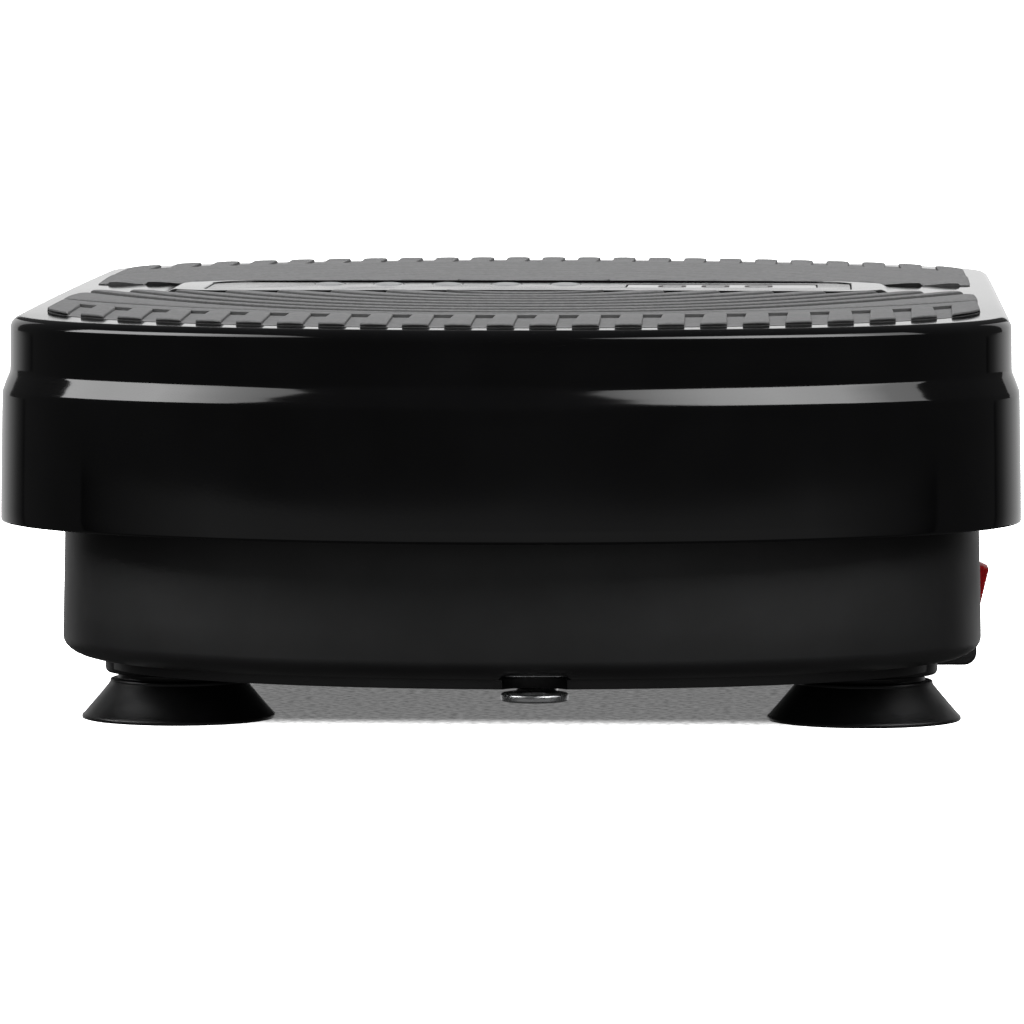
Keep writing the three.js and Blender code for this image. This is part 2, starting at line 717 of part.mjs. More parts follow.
/** Motor can with a boss at the drive end, bored for its shaft. */
function motorBody() {
  const half = (MOTOR_HIGH_X - MOTOR_LOW_X) / 2;
  const profile = [
    [0, -half],
    [MOTOR_RADIUS - MOTOR_CHAMFER, -half],
    [MOTOR_RADIUS, -half + MOTOR_CHAMFER],
    [MOTOR_RADIUS, half - MOTOR_BOSS - MOTOR_CHAMFER],
    [MOTOR_RADIUS - MOTOR_CHAMFER, half - MOTOR_BOSS],
    [MOTOR_BOSS_RADIUS, half - MOTOR_BOSS],
    [MOTOR_BOSS_RADIUS, half],
    [0, half],
  ];
  const can = turned(profile).rotateY(Math.PI / 2);
  can.translate((MOTOR_LOW_X + MOTOR_HIGH_X) / 2, MOTOR_Y, MOTOR_Z);
  return cut(can, barX(
    MOTOR_SHAFT + GAP, MOTOR_HIGH_X - MOTOR_BORE_DEPTH, MOTOR_HIGH_X + 1, MOTOR_Y, MOTOR_Z,
  ));
}
add('motor_body', motorBody(), PAINTED_STEEL);
add('motor_shaft', barX(
  MOTOR_SHAFT, MOTOR_HIGH_X - MOTOR_BORE_DEPTH + 1, BELT_X + MOTOR_SHAFT_PAST_BELT,
  MOTOR_Y, MOTOR_Z,
), STEEL);

function motorBracket() {
  const saddle = block(
    MOTOR_LOW_X + SADDLE_INSET, MOTOR_HIGH_X - SADDLE_INSET,
    MOTOR_Y - SADDLE_HALF_DEPTH, MOTOR_Y + SADDLE_HALF_DEPTH, chassisTop + GAP, SADDLE_TOP,
  );
  return cut(saddle, barX(MOTOR_RADIUS + GAP, MOTOR_LOW_X, MOTOR_HIGH_X, MOTOR_Y, MOTOR_Z));
}
add('motor_bracket', motorBracket(), PAINTED_STEEL);

// ---- Rubber buffers under the platform's ends ----------------------------------------

const BUFFER_Y = 182;
const BUFFER_TOP = 87;
const BUFFER_STEPS = 6;
const BUFFER_RADIUS = 13;
const BUFFER_WAIST = 10.5;

function buffer(sideX, sideY) {
  const low = chassisTop + GAP;
  const rise = (BUFFER_TOP - low) / BUFFER_STEPS;
  const profile = [[0, low]];
  for (let level = 0; level <= BUFFER_STEPS; level += 1) {
    const radius = level % 2 === 0 ? BUFFER_RADIUS : BUFFER_WAIST;
    profile.push([radius, low + level * rise]);
  }
  profile.push([0, BUFFER_TOP]);
  return turned(profile, 16).translate(sideX * RAIL_X, sideY * BUFFER_Y, 0);
}
CORNERS.forEach(([sideX, sideY], number) => {
  add(`rubber_buffer_${number + 1}`, buffer(sideX, sideY), BLACK_RUBBER);
});

// ---- Base tray and chassis -----------------------------------------------------------

const entryLowY = ENTRY_Y - ENTRY_HALF_LENGTH;
const entryHighY = ENTRY_Y + ENTRY_HALF_LENGTH;

function boltHoles(low, high) {
  return CORNERS.map(([sideX, sideY]) => (
    barZ(BOLT_RADIUS + GAP, sideX * FOOT_X, sideY * FOOT_Y, low, high, 12)
  ));
}

/** Inset and height on the tray's rounded lower edge, at an angle up from its sole. */
function filletSection(angle) {
  return {
    inset: TRAY_FILLET_SIDE * (1 - Math.sin(angle)),
    z: TRAY_BOTTOM + TRAY_SOLE + TRAY_FILLET_RISE * (1 - Math.cos(angle)),
  };
}

function baseTray() {
  const outside = ovalStack(TRAY_HALF_WIDTH, TRAY_HALF_LENGTH, TRAY_END, [
    { inset: TRAY_SOLE_INSET, z: TRAY_BOTTOM },
    { inset: TRAY_SOLE_INSET, z: TRAY_BOTTOM + TRAY_SOLE },
    ...[0, Math.PI / 6, Math.PI / 3, Math.PI / 2].map(filletSection),
    { inset: 1, z: TRAY_TOP },
  ]);
  const inside = ovalStack(TRAY_HALF_WIDTH, TRAY_HALF_LENGTH, TRAY_END, [
    { inset: 16, z: trayFloor },
    { inset: 13, z: trayFloor + 1.1 },
    { inset: 9.5, z: trayFloor + 4 },
    { inset: TRAY_WALL + 2, z: trayFloor + 9.5 },
    { inset: TRAY_WALL + 1, z: trayFloor + 15.5 },
    { inset: TRAY_WALL + 1, z: TRAY_TOP + 1 },
  ]);
  const entryCut = block(
    ENTRY_BACK_X - GAP, ENTRY_FACE_X + 1, entryLowY - GAP, entryHighY + GAP,
    ENTRY_LOW - GAP, ENTRY_HIGH + GAP,
  );
  const bosses = CORNERS.map(([sideX, sideY]) => (
    barZ(BOSS_RADIUS, sideX * FOOT_X, sideY * FOOT_Y, FOOT_TOP + GAP, trayFloor - 1, 28)
  ));
  const pockets = [-1, 1].map((end) => (
    barZ(
      RING_OUTER + RING_ROOM, RING_X - TRAY_SHIFT, end * RING_Y, FOOT_TOP, RING_POCKET_TOP, 28,
    )
  ));
  const shell = join(cut(outside, inside), ...bosses);
  const tray = cut(shell, entryCut, ...pockets, ...boltHoles(FOOT_TOP - 1, trayFloor + 1));
  return tray.translate(TRAY_SHIFT, 0, 0);
}
add('base_tray', baseTray(), MATTE_BLACK);

function chassisPlate() {
  const shape = new THREE.Shape(ovalPoints(CHASSIS_HALF_WIDTH, CHASSIS_HALF_LENGTH, CHASSIS_END));
  const notch = block(
    ENTRY_BACK_X - 2, CHASSIS_HALF_WIDTH + 1, entryLowY - 2, entryHighY + 2, trayFloor, chassisTop + 1,
  );
  const sheet = cut(
    slab(shape, trayFloor + GAP, chassisTop), notch, ...boltHoles(trayFloor, chassisTop + 1),
  );
  return sheet.translate(TRAY_SHIFT, 0, 0);
}
add('chassis_plate', chassisPlate(), STEEL);

// ---- Feet ----------------------------------------------------------------------------

/** A suction cup with a neck, hollow underneath and bored from above for its bolt. */
function suctionFoot(sideX, sideY) {
  const profile = [
    [0, 5.5],
    [9, 5],
    [18, 3.6],
    [FOOT_RIM - FOOT_RIM_FLAT, 0],
    [FOOT_RIM, 0],
    [FOOT_RIM, 1.3],
    [FOOT_CROWN, FOOT_SHOULDER - 0.6],
    [FOOT_CROWN - 0.6, FOOT_SHOULDER],
    [FOOT_NECK, FOOT_SHOULDER],
    [FOOT_NECK, FOOT_TOP],
    [0, FOOT_TOP],
  ];
  const cup = cut(turned(profile, 28), barZ(BOLT_RADIUS + GAP, 0, 0, BOLT_LOW - 1, FOOT_TOP + 1, 12));
  return cup.translate(TRAY_SHIFT + sideX * FOOT_X, sideY * FOOT_Y, 0);
}

function footBolt(sideX, sideY) {
  const head = new THREE.CylinderGeometry(BOLT_HEAD, BOLT_HEAD, BOLT_HEAD_HEIGHT, 6)
    .rotateX(Math.PI / 2);
  head.translate(0, 0, chassisTop + GAP + BOLT_HEAD_HEIGHT / 2);
  const bolt = join(head, barZ(BOLT_RADIUS, 0, 0, BOLT_LOW, chassisTop + GAP + 1, 12));
  return bolt.translate(TRAY_SHIFT + sideX * FOOT_X, sideY * FOOT_Y, 0);
}
CORNERS.forEach(([sideX, sideY], number) => {
  add(`suction_foot_${number + 1}`, suctionFoot(sideX, sideY), BLACK_RUBBER);
  add(`foot_bolt_${number + 1}`, footBolt(sideX, sideY), STEEL);
});

// ---- Band rings ----------------------------------------------------------------------

/** A steel eye under the tray's end, with a tongue running in towards the middle. */
function bandRing(end) {
  const eye = barZ(RING_OUTER, RING_X, end * RING_Y, RING_LOW, RING_HIGH, 28);
  const inner = end * (RING_Y - RING_TONGUE_LENGTH);
  const outer = end * (RING_Y - RING_OUTER + 2);
  const tongue = block(
    RING_X - RING_TONGUE_HALF, RING_X + RING_TONGUE_HALF,
    Math.min(inner, outer), Math.max(inner, outer),
    RING_LOW, RING_HIGH,
  );
  return cut(
    join(eye, tongue), barZ(RING_INNER, RING_X, end * RING_Y, RING_LOW - 1, RING_HIGH + 1),
  );
}
add('band_ring_front', bandRing(-1), STEEL);
add('band_ring_back', bandRing(1), STEEL);

// ---- Mains inlet and power rocker ----------------------------------------------------

const rockerReach = Math.hypot(
  ROCKER_FACE_X + ROCKER_HALF_HEIGHT * Math.tan(THREE.MathUtils.degToRad(ROCKER_FACE_ANGLE)),
  ROCKER_HALF_HEIGHT,
);

/** A block through the tray wall with the rocker's well and the mains socket in its face. */
function powerEntry() {
  const side = new THREE.Shape();
  side.moveTo(ENTRY_HIGH, ENTRY_BACK_X);
  side.lineTo(ENTRY_HIGH, ENTRY_FACE_X - 1);
  side.lineTo(ENTRY_HIGH - 1, ENTRY_FACE_X);
  side.absarc(
    ENTRY_LOW + ENTRY_CORNER, ENTRY_FACE_X - ENTRY_CORNER, ENTRY_CORNER, Math.PI / 2, Math.PI,
  );
  side.lineTo(ENTRY_LOW, ENTRY_BACK_X);
  const body = slabAlongY(side, entryLowY, entryHighY, 5);
  const wellHalfY = ROCKER_WIDTH / 2 + 0.5;
  const wellHalfZ = rockerReach + GAP;
  const well = block(
    ROCKER_X - ROCKER_DEPTH - 5, ENTRY_FACE_X + 1, ROCKER_Y - wellHalfY, ROCKER_Y + wellHalfY,
    ROCKER_Z - wellHalfZ, ROCKER_Z + wellHalfZ,
  );
  const pivotHole = barY(
    1.9, ROCKER_X, ROCKER_Y - wellHalfY - 1.4, ROCKER_Y + wellHalfY + 1.4, ROCKER_Z, 12,
  );
  const socket = block(
    ENTRY_FACE_X - SOCKET_DEPTH, ENTRY_FACE_X + 1,
    SOCKET_Y - SOCKET_WIDTH / 2, SOCKET_Y + SOCKET_WIDTH / 2,
    ROCKER_Z - SOCKET_HEIGHT / 2, ROCKER_Z + SOCKET_HEIGHT / 2,
  );
  return cut(body, well, pivotHole, socket).translate(TRAY_SHIFT, 0, 0);
}

/** The rocker: a face of two shallow planes, with ends that are arcs about its pivot. */
function powerRocker() {
  const end = Math.acos(ROCKER_HALF_HEIGHT / rockerReach);
  const heel = Math.asin(ROCKER_DEPTH / rockerReach) * 0.6;
  const shape = new THREE.Shape();
  shape.moveTo(0, ROCKER_FACE_X);
  shape.absarc(0, 0, rockerReach, Math.PI - end, Math.PI + heel);
  shape.lineTo(-6, -ROCKER_DEPTH);
  shape.lineTo(6, -ROCKER_DEPTH);
  shape.absarc(0, 0, rockerReach, -heel, end);
  const body = slabAlongY(shape, -ROCKER_WIDTH / 2, ROCKER_WIDTH / 2, 5);
  const stubs = barY(1.5, 0, -ROCKER_WIDTH / 2 - 1.6, ROCKER_WIDTH / 2 + 1.6, 0, 12);
  const rocker = join(body, stubs).rotateY(THREE.MathUtils.degToRad(ROCKER_TILT));
  return rocker.translate(TRAY_SHIFT + ROCKER_X, ROCKER_Y, ROCKER_Z);
}

function inletPin(offsetY, offsetZ) {
  const back = TRAY_SHIFT + ENTRY_FACE_X - SOCKET_DEPTH + GAP;
  const y = SOCKET_Y + offsetY;
  const z = ROCKER_Z + offsetZ;
  return block(back, back + PIN_LENGTH, y - 1, y + 1, z - 2, z + 2);
}
add('power_entry', powerEntry(), MATTE_BLACK);
add('power_rocker', powerRocker(), RED_PLASTIC);
[[2, 7], [-3, 0], [2, -7]].forEach(([offsetY, offsetZ], number) => {
  add(`inlet_pin_${number + 1}`, inletPin(offsetY, offsetZ), BRASS);
});

// ---- Power board ---------------------------------------------------------------------

const POWER_X = -5;
const POWER_Y = 165;
const POWER_HALF_WIDTH = 55;
const POWER_HALF_DEPTH = 30;
const LEG_RADIUS = 3;
const LEG_HEIGHT = 7;
const LEG_INSET = 5;
const HEAT_SINK_LOW_X = -52;
const HEAT_SINK_HIGH_X = -22;
const HEAT_SINK_LOW_Y = 145;
const HEAT_SINK_HIGH_Y = 175;
const HEAT_SINK_HEIGHT = 22;
const CAPACITOR_X = 10;
const CAPACITOR_RADIUS = 9;
const CAPACITOR_HEIGHT = 28;
const COIL_LOW_X = 26;
const COIL_HIGH_X = 44;
const COIL_LOW_Y = 150;
const COIL_HIGH_Y = 172;
const COIL_HEIGHT = 16;

/** Circuit board on four legs, with its tall parts. */
function powerBoard() {
  const low = chassisTop + LEG_HEIGHT;
  const board = block(
    POWER_X - POWER_HALF_WIDTH, POWER_X + POWER_HALF_WIDTH,
    POWER_Y - POWER_HALF_DEPTH, POWER_Y + POWER_HALF_DEPTH, low, low + BOARD_THICK,
  );
  const legs = CORNERS.map(([sideX, sideY]) => barZ(
    LEG_RADIUS, POWER_X + sideX * (POWER_HALF_WIDTH - LEG_INSET),
    POWER_Y + sideY * (POWER_HALF_DEPTH - LEG_INSET), chassisTop + GAP, low + 1, 10,
  ));
  const heatSink = block(
    HEAT_SINK_LOW_X, HEAT_SINK_HIGH_X, HEAT_SINK_LOW_Y, HEAT_SINK_HIGH_Y,
    low + 1, low + HEAT_SINK_HEIGHT,
  );
  const capacitor = barZ(
    CAPACITOR_RADIUS, CAPACITOR_X, POWER_Y, low + 1, low + CAPACITOR_HEIGHT, 16,
  );
  const coil = block(COIL_LOW_X, COIL_HIGH_X, COIL_LOW_Y, COIL_HIGH_Y, low + 1, low + COIL_HEIGHT);
  return join(board, ...legs, heatSink, capacitor, coil);
}
add('power_board', powerBoard(), BOARD_GREEN);

export default plate;
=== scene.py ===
import math

import bmesh
import bpy
import numpy as np
from mathutils import Matrix, Vector
from mathutils.geometry import tessellate_polygon


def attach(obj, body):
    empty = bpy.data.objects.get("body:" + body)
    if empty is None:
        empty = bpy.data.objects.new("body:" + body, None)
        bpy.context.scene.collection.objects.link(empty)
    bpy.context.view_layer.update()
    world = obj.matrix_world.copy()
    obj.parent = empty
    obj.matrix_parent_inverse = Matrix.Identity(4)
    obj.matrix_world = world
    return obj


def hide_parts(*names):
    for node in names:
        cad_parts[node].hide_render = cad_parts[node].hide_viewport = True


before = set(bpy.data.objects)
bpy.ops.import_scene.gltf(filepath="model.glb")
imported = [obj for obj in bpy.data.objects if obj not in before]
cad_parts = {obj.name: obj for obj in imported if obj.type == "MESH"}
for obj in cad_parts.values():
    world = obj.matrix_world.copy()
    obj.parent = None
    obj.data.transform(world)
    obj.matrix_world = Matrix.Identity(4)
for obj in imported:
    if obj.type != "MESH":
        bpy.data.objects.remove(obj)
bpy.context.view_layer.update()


MM = 0.001

# ---- Sizes of the fine surfaces, in millimetres ----

COVER_HALF_WIDTH = 155.0
COVER_HALF_LENGTH = 265.0
COVER_END = 101.0
SKIRT_BOTTOM = 60.6
STEP_LOW = 101.0            # the step's foot and top on the cover's inside
STEP_HIGH = 108.0
EDGE_RADIUS = 3.5           # rounding of the cover's top edge
EDGE_INSET = 3.1            # and how far inside the outline it starts
CEILING = 120.2             # underside of the cover's top
COVER_WALL_INSET = 7.0      # inner face of the cover's wall, at the ceiling
RIM_BEYOND_PANEL = 16.0
PANEL_WALL_ROUND = 0.3      # rounding of the edge round the sunken panel
CROWN_LOW = 122.75          # cover's top at its edge
CROWN_RISE = 1.15           # and how much it swells towards the middle

MAT_THICK = 1.4
MAT_GROOVE = 0.3            # groove floor above the cover
MAT_HALF_WIDTH = 143.0
MAT_HALF_LENGTH = 246.0
MAT_END = 108.0             # depth of the mat's half-elliptical end
LUG_PITCH = 12.5
LUG_WIDTH = 7.9             # at its outer end
LUG_WAIST = 6.7             # and at its root
LUG_LENGTH = 48.0
LAST_LUG = 11               # lugs either side of the middle one
GROOVE = 1.3
SKIN = 0.02                 # gap under a mat's pieces, above the cover

PANEL_X = 104.0
PANEL_Y = 36.0
PANEL_CORNER = 16.0
BEZEL_X = 116.5
BEZEL_Y = 39.9
BEZEL_CORNER = 20.0
BEZEL_RISE = 1.1            # of the raised frame round the panel, above the cover
PANEL_FACE = 124.4
PANEL_GAP = 0.35            # round the panel and round each button
PANEL_FOOT = CEILING - 2.8  # underside of the panel, its flange and its window
BUTTON_RADIUS = 4.75
BUTTON_FLANGE = 6.25
WINDOW_X = 62.0
WINDOW_Y = 8.0
WINDOW_HALF_X = 31.0
WINDOW_HALF_Y = 12.0
WINDOW_CORNER = 3.0
WINDOW_GAP = 0.3

TRAY_SHIFT = 3.1            # the tray stands this far to the right of the cover
TRAY_HALF_WIDTH = 140.0
TRAY_HALF_LENGTH = 249.0
TRAY_END = 93.0
TRAY_BOTTOM = 15.5
TRAY_SOLE = 18.5            # foot of the tray's rounded edge, above its flat sole
TRAY_TOP = 74.0

RING_X = 10.0
RING_Y = 240.0
RING_RADIUS = 10.0
RING_HOLE = 5.5
RING_TONGUE = 6.0           # half its width
RING_TAIL = 206.0           # inner end of the tongue

ENDS = (("front", -1), ("back", 1))
CORNERS = ((-1, -1), (1, -1), (-1, 1), (1, 1))

# ---- Mesh helpers ----


def sharpen(mesh, degrees):
    """Smooth shading, broken along every edge sharper than the angle."""
    work = bmesh.new()
    work.from_mesh(mesh)
    limit = math.radians(degrees)
    for face in work.faces:
        face.smooth = True
    for edge in work.edges:
        edge.smooth = len(edge.link_faces) == 2 and edge.calc_face_angle(0.0) < limit
    work.to_mesh(mesh)
    work.free()


def make(name, points, faces, sharp=35):
    """An object from points in millimetres."""
    mesh = bpy.data.meshes.new(name)
    scaled = (np.asarray(points, float) * MM).tolist()
    mesh.from_pydata(scaled, [], [tuple(int(i) for i in face) for face in faces])
    mesh.validate()
    work = bmesh.new()
    work.from_mesh(mesh)
    bmesh.ops.remove_doubles(work, verts=work.verts, dist=1e-6)
    bmesh.ops.recalc_face_normals(work, faces=work.faces)
    work.to_mesh(mesh)
    work.free()
    sharpen(mesh, sharp)
    piece = bpy.data.objects.new(name, mesh)
    bpy.context.scene.collection.objects.link(piece)
    return piece


def cut(piece, *tools):
    """Cuts the tools out of the piece and deletes them."""
    for tool in tools:
        modifier = piece.modifiers.new("cut", "BOOLEAN")
        modifier.operation = "DIFFERENCE"
        modifier.solver = "EXACT"
        modifier.object = tool
    bpy.context.view_layer.update()
    depsgraph = bpy.context.evaluated_depsgraph_get()
    mesh = bpy.data.meshes.new_from_object(piece.evaluated_get(depsgraph))
    piece.modifiers.clear()
    piece.data = mesh
    for tool in tools:
        bpy.data.objects.remove(tool)
    sharpen(mesh, 35)
    return piece


def ring_faces(rows, count, closed_rows=False, closed_ring=True):
    """Quads between successive rows of points."""
    faces = []
    steps = rows if closed_rows else rows - 1
    sides = count if closed_ring else count - 1
    for row in range(steps):
        after = (row + 1) % rows
        for side in range(sides):
            turn = (side + 1) % count
            faces.append((
                row * count + side, row * count + turn,
                after * count + turn, after * count + side,
            ))
    return faces


def body_faces(rows, count):
    """The sides and the two end faces of a closed body."""
    last = (rows - 1) * count
    ends = [tuple(reversed(range(count))), tuple(range(last, last + count))]
    return ring_faces(rows, count) + ends


def loft(name, rows, torus=False, sharp=35):
    """A closed body through loops that all have the same number of points."""
    count = len(rows[0])
    if torus:
        faces = ring_faces(len(rows), count, closed_rows=True)
    else:
        faces = body_faces(len(rows), count)
    return make(name, np.concatenate(rows), faces, sharp)


def joined(name, parts, sharp=35):
    """One object from several closed parts, each a list of points and faces."""
    points = []
    faces = []
    start = 0
    for part_points, part_faces in parts:
        points.append(part_points)
        faces += [tuple(start + i for i in face) for face in part_faces]
        start += len(part_points)
    return make(name, np.concatenate(points), faces, sharp)


def lathe(name, profile, x=0.0, y=0.0, steps=96, sharp=35):
    """A profile of (radius, height) pairs turned about Z; it closes on itself."""
    angles = np.linspace(0, 2 * math.pi, steps, endpoint=False)
    rows = []
    for radius, height in profile:
        reach = max(radius, 0.0)
        rows.append(np.stack([
            x + reach * np.cos(angles), y + reach * np.sin(angles), np.full(steps, height),
        ], 1))
    on_axis = profile[0][0] <= 0 and profile[-1][0] <= 0
    faces = ring_faces(len(rows), steps, closed_rows=not on_axis)
    return make(name, np.concatenate(rows), faces, sharp)


def offset(points, distance):
    """A closed outline moved inwards by a small distance; the outline runs anticlockwise."""
    before = points - np.roll(points, 1, 0)
    after = np.roll(points, -1, 0) - points
    before /= np.linalg.norm(before, axis=1)[:, None]
    after /= np.linalg.norm(after, axis=1)[:, None]
    normal = np.stack([-before[:, 1] - after[:, 1], before[:, 0] + after[:, 0]], 1)
    normal /= np.linalg.norm(normal, axis=1)[:, None]
    along = np.clip(-normal[:, 0] * after[:, 1] + normal[:, 1] * after[:, 0], 0.35, 1)
    return points + normal * (distance / along)[:, None]


def prism(name, outline, levels, holes=(), axis="z", sharp=35):
    """An outline with holes given thickness; levels are (inset, height) from low to high."""
    loops = [np.asarray(outline, float)] + [np.asarray(hole, float)[::-1] for hole in holes]
    points = []
    faces = []
    first_rows = []
    last_rows = []
    start = 0
    for loop in loops:
        count = len(loop)
        for inset, height in levels:
            flat = offset(loop, inset) if inset else loop
            points.append(np.concatenate([flat, np.full((count, 1), height)], 1))
        faces += [tuple(start + i for i in face) for face in ring_faces(len(levels), count)]
        first_rows.append(range(start, start + count))
        last_rows.append(range(start + (len(levels) - 1) * count, start + len(levels) * count))
        start += len(levels) * count
    points = np.concatenate(points)
    for rows, turned in ((first_rows, True), (last_rows, False)):
        flat_index = [i for row in rows for i in row]
        polygons = [[Vector((points[i][0], points[i][1], 0)) for i in row] for row in rows]
        for triangle in tessellate_polygon(polygons):
            face = tuple(flat_index[i] for i in triangle)
            faces.append(face[::-1] if turned else face)
    if axis == "y":
        points = points[:, [1, 2, 0]]
    return make(name, points, faces, sharp)


def rounded_levels(low, high, radius, steps=3):
    """Levels of a plate whose upper and lower edges are rounded."""
    levels = [(radius + 0.15, low)]
    for step in range(steps + 1):
        angle = math.pi / 2 * step / steps
        levels.append((radius * (1 - math.sin(angle)), low + radius * (1 - math.cos(angle))))
    return levels + [(inset, high - (height - low)) for inset, height in reversed(levels)]


def top_rounded(low, high, radius, steps=4):
    """Levels of a plate whose upper edge alone is rounded."""
    return [(0.0, low)] + rounded_levels(low, high, radius, steps)[steps + 2:]


def rounded_rectangle(half_x, half_y, corner, x=0.0, y=0.0, steps=10):
    """An anticlockwise outline about (x, y)."""
    points = []
    for quadrant, (sx, sy) in enumerate(((1, 1), (-1, 1), (-1, -1), (1, -1))):
        for step in range(steps + 1):
            angle = math.pi / 2 * (quadrant + step / steps)
            points.append((
                x + sx * (half_x - corner) + corner * math.cos(angle),
                y + sy * (half_y - corner) + corner * math.sin(angle),
            ))
    return np.array(points)


def circle(radius, x=0.0, y=0.0, steps=64):
    angles = np.linspace(0, 2 * math.pi, steps, endpoint=False)
    return np.stack([x + radius * np.cos(angles), y + radius * np.sin(angles)], 1)


def oval(half_width, half_length, depth, ends=96, side=28):
    """A loop of two straight sides and two half-ellipses, anticlockwise."""
    straight = half_length - depth
    turn = np.linspace(0, math.pi, ends + 1)
    down = np.linspace(straight, -straight, side + 2)[1:-1]
    back = np.stack([half_width * np.cos(turn), straight + depth * np.sin(turn)], 1)
    left = np.stack([np.full(side, -half_width), down], 1)
    return np.concatenate([back, left, -back, -left])


def at_height(loop, height):
    """The loop's points with a height, one for all or one for each."""
    return np.concatenate([loop, np.full((len(loop), 1), 1.0) * np.reshape(height, (-1, 1))], 1)


def smooth(low, high, value):
    """An even rise from 0 at low to 1 at high."""
    t = np.clip((np.asarray(value, float) - low) / (high - low), 0, 1)
    return t * t * (3 - 2 * t)


# ---- Materials ----


class Look:
    """A node material whose colour, roughness and surface all carry fine variation."""

    def __init__(self, name, color, roughness, metallic=0.0, specular=0.5):
        self.material = bpy.data.materials.new(name)
        self.material.use_nodes = True
        self.tree = self.material.node_tree
        self.shader = self.tree.nodes["Principled BSDF"]
        self.color = color
        self.shader.inputs["Metallic"].default_value = metallic
        self.shader.inputs["Roughness"].default_value = roughness
        self.shader.inputs["Specular IOR Level"].default_value = specular
        self.geometry = self.node("ShaderNodeNewGeometry")
        self.last_bump = None

    def node(self, kind, **inputs):
        made = self.tree.nodes.new(kind)
        for name, value in inputs.items():
            made.inputs[name.replace("_", " ")].default_value = value
        return made

    def link(self, source, target):
        self.tree.links.new(source, target)

    def coordinates(self):
        return self.node("ShaderNodeTexCoord").outputs["Object"]

    def noise(self, scale, detail=4.0, stretch=None):
        noise = self.node("ShaderNodeTexNoise", Scale=scale, Detail=detail)
        source = self.coordinates()
        if stretch:
            mapping = self.node("ShaderNodeMapping", Scale=stretch)
            self.link(source, mapping.inputs["Vector"])
            source = mapping.outputs["Vector"]
        self.link(source, noise.inputs["Vector"])
        return noise.outputs["Fac"]

    def spread(self, value, low, high, from_low=0.3, from_high=0.7):
        ranged = self.node(
            "ShaderNodeMapRange", From_Min=from_low, From_Max=from_high, To_Min=low, To_Max=high,
        )
        self.link(value, ranged.inputs["Value"])
        return ranged.outputs["Result"]

    def mottle(self, value, amount, tint=(1.0, 1.0, 1.0)):
        """Colour that varies by a share of itself as the value goes from 0.3 to 0.7."""
        ramp = self.node("ShaderNodeValToRGB")
        for element, place, share in zip(
            ramp.color_ramp.elements, (0.3, 0.7), (1 - amount, 1 + amount),
        ):
            element.position = place
            shade = [min(1.0, c * share * (t if share > 1 else 1.0))
                     for c, t in zip(self.color, tint)]
            element.color = (*shade, 1.0)
        self.link(value, ramp.inputs["Fac"])
        self.link(ramp.outputs["Color"], self.shader.inputs["Base Color"])
        return ramp.outputs["Color"]

    def rough(self, value, low, high):
        self.link(self.spread(value, low, high), self.shader.inputs["Roughness"])

    def bump(self, value, distance, strength=1.0):
        bump = self.node("ShaderNodeBump", Strength=strength, Distance=distance)
        self.link(value, bump.inputs["Height"])
        if self.last_bump:
            self.link(self.last_bump.outputs["Normal"], bump.inputs["Normal"])
        self.link(bump.outputs["Normal"], self.shader.inputs["Normal"])
        self.last_bump = bump

    def paler_crests(self, color, share, low=0.52, high=0.62):
        """A paler colour on the crests of edges."""
        crest = self.spread(self.geometry.outputs["Pointiness"], 0.0, share, low, high)
        mix = self.node("ShaderNodeMixRGB", Color2=(*color, 1.0))
        self.link(crest, mix.inputs["Fac"])
        source = self.shader.inputs["Base Color"].links
        if source:
            self.link(source[0].from_socket, mix.inputs["Color1"])
        else:
            mix.inputs["Color1"].default_value = (*self.color, 1.0)
        self.link(mix.outputs["Color"], self.shader.inputs["Base Color"])


def gloss_black():
    look = Look("gloss_black", (0.0035, 0.0035, 0.0038), 0.07, specular=0.45)
    look.mottle(look.noise(35), 0.25)
    look.rough(look.noise(9, 6), 0.045, 0.10)
    look.bump(look.noise(14, 1), 0.00012, 0.25)
    look.bump(look.noise(900, 2), 0.000004, 0.3)
    return look


def panel_gloss():
    look = Look("panel_gloss", (0.012, 0.012, 0.013), 0.12, specular=0.32)
    look.mottle(look.noise(50), 0.2)
    look.rough(look.noise(40, 5), 0.10, 0.15)
    look.bump(look.noise(1500, 2), 0.000005, 0.3)
    return look


def matte_black():
    look = Look("matte_black", (0.0095, 0.0095, 0.0099), 0.46, specular=0.6)
    look.mottle(look.noise(60), 0.2)
    look.rough(look.noise(45, 5), 0.42, 0.5)
    look.bump(look.noise(2600, 2), 0.00005, 0.35)
    look.paler_crests((0.018, 0.018, 0.019), 0.35)
    return look


def grey_rubber():
    look = Look("grey_rubber", (0.098, 0.098, 0.099), 0.85, specular=0.1)
    look.mottle(look.noise(700, 6), 0.16)
    look.rough(look.noise(80, 4), 0.78, 0.92)
    look.bump(look.noise(3200, 3), 0.00007, 0.5)
    look.bump(look.noise(220, 2), 0.00006, 0.3)
    look.paler_crests((0.17, 0.17, 0.17), 0.4)
    return look


def black_rubber():
    look = Look("black_rubber", (0.0045, 0.0045, 0.0048), 0.42, specular=0.4)
    look.mottle(look.noise(90), 0.3)
    look.rough(look.noise(70, 5), 0.3, 0.5)
    look.bump(look.noise(1200, 3), 0.00004, 0.4)
    look.paler_crests((0.02, 0.02, 0.02), 0.3)
    return look


def steel():
    look = Look("steel", (0.46, 0.465, 0.47), 0.3, metallic=1.0)
    look.mottle(look.noise(220, 3, (1, 1, 6)), 0.12)
    look.rough(look.noise(400, 4, (1, 8, 1)), 0.22, 0.4)
    look.bump(look.noise(1500, 2, (1, 10, 1)), 0.00002, 0.4)
    look.paler_crests((0.7, 0.7, 0.7), 0.4)
    return look


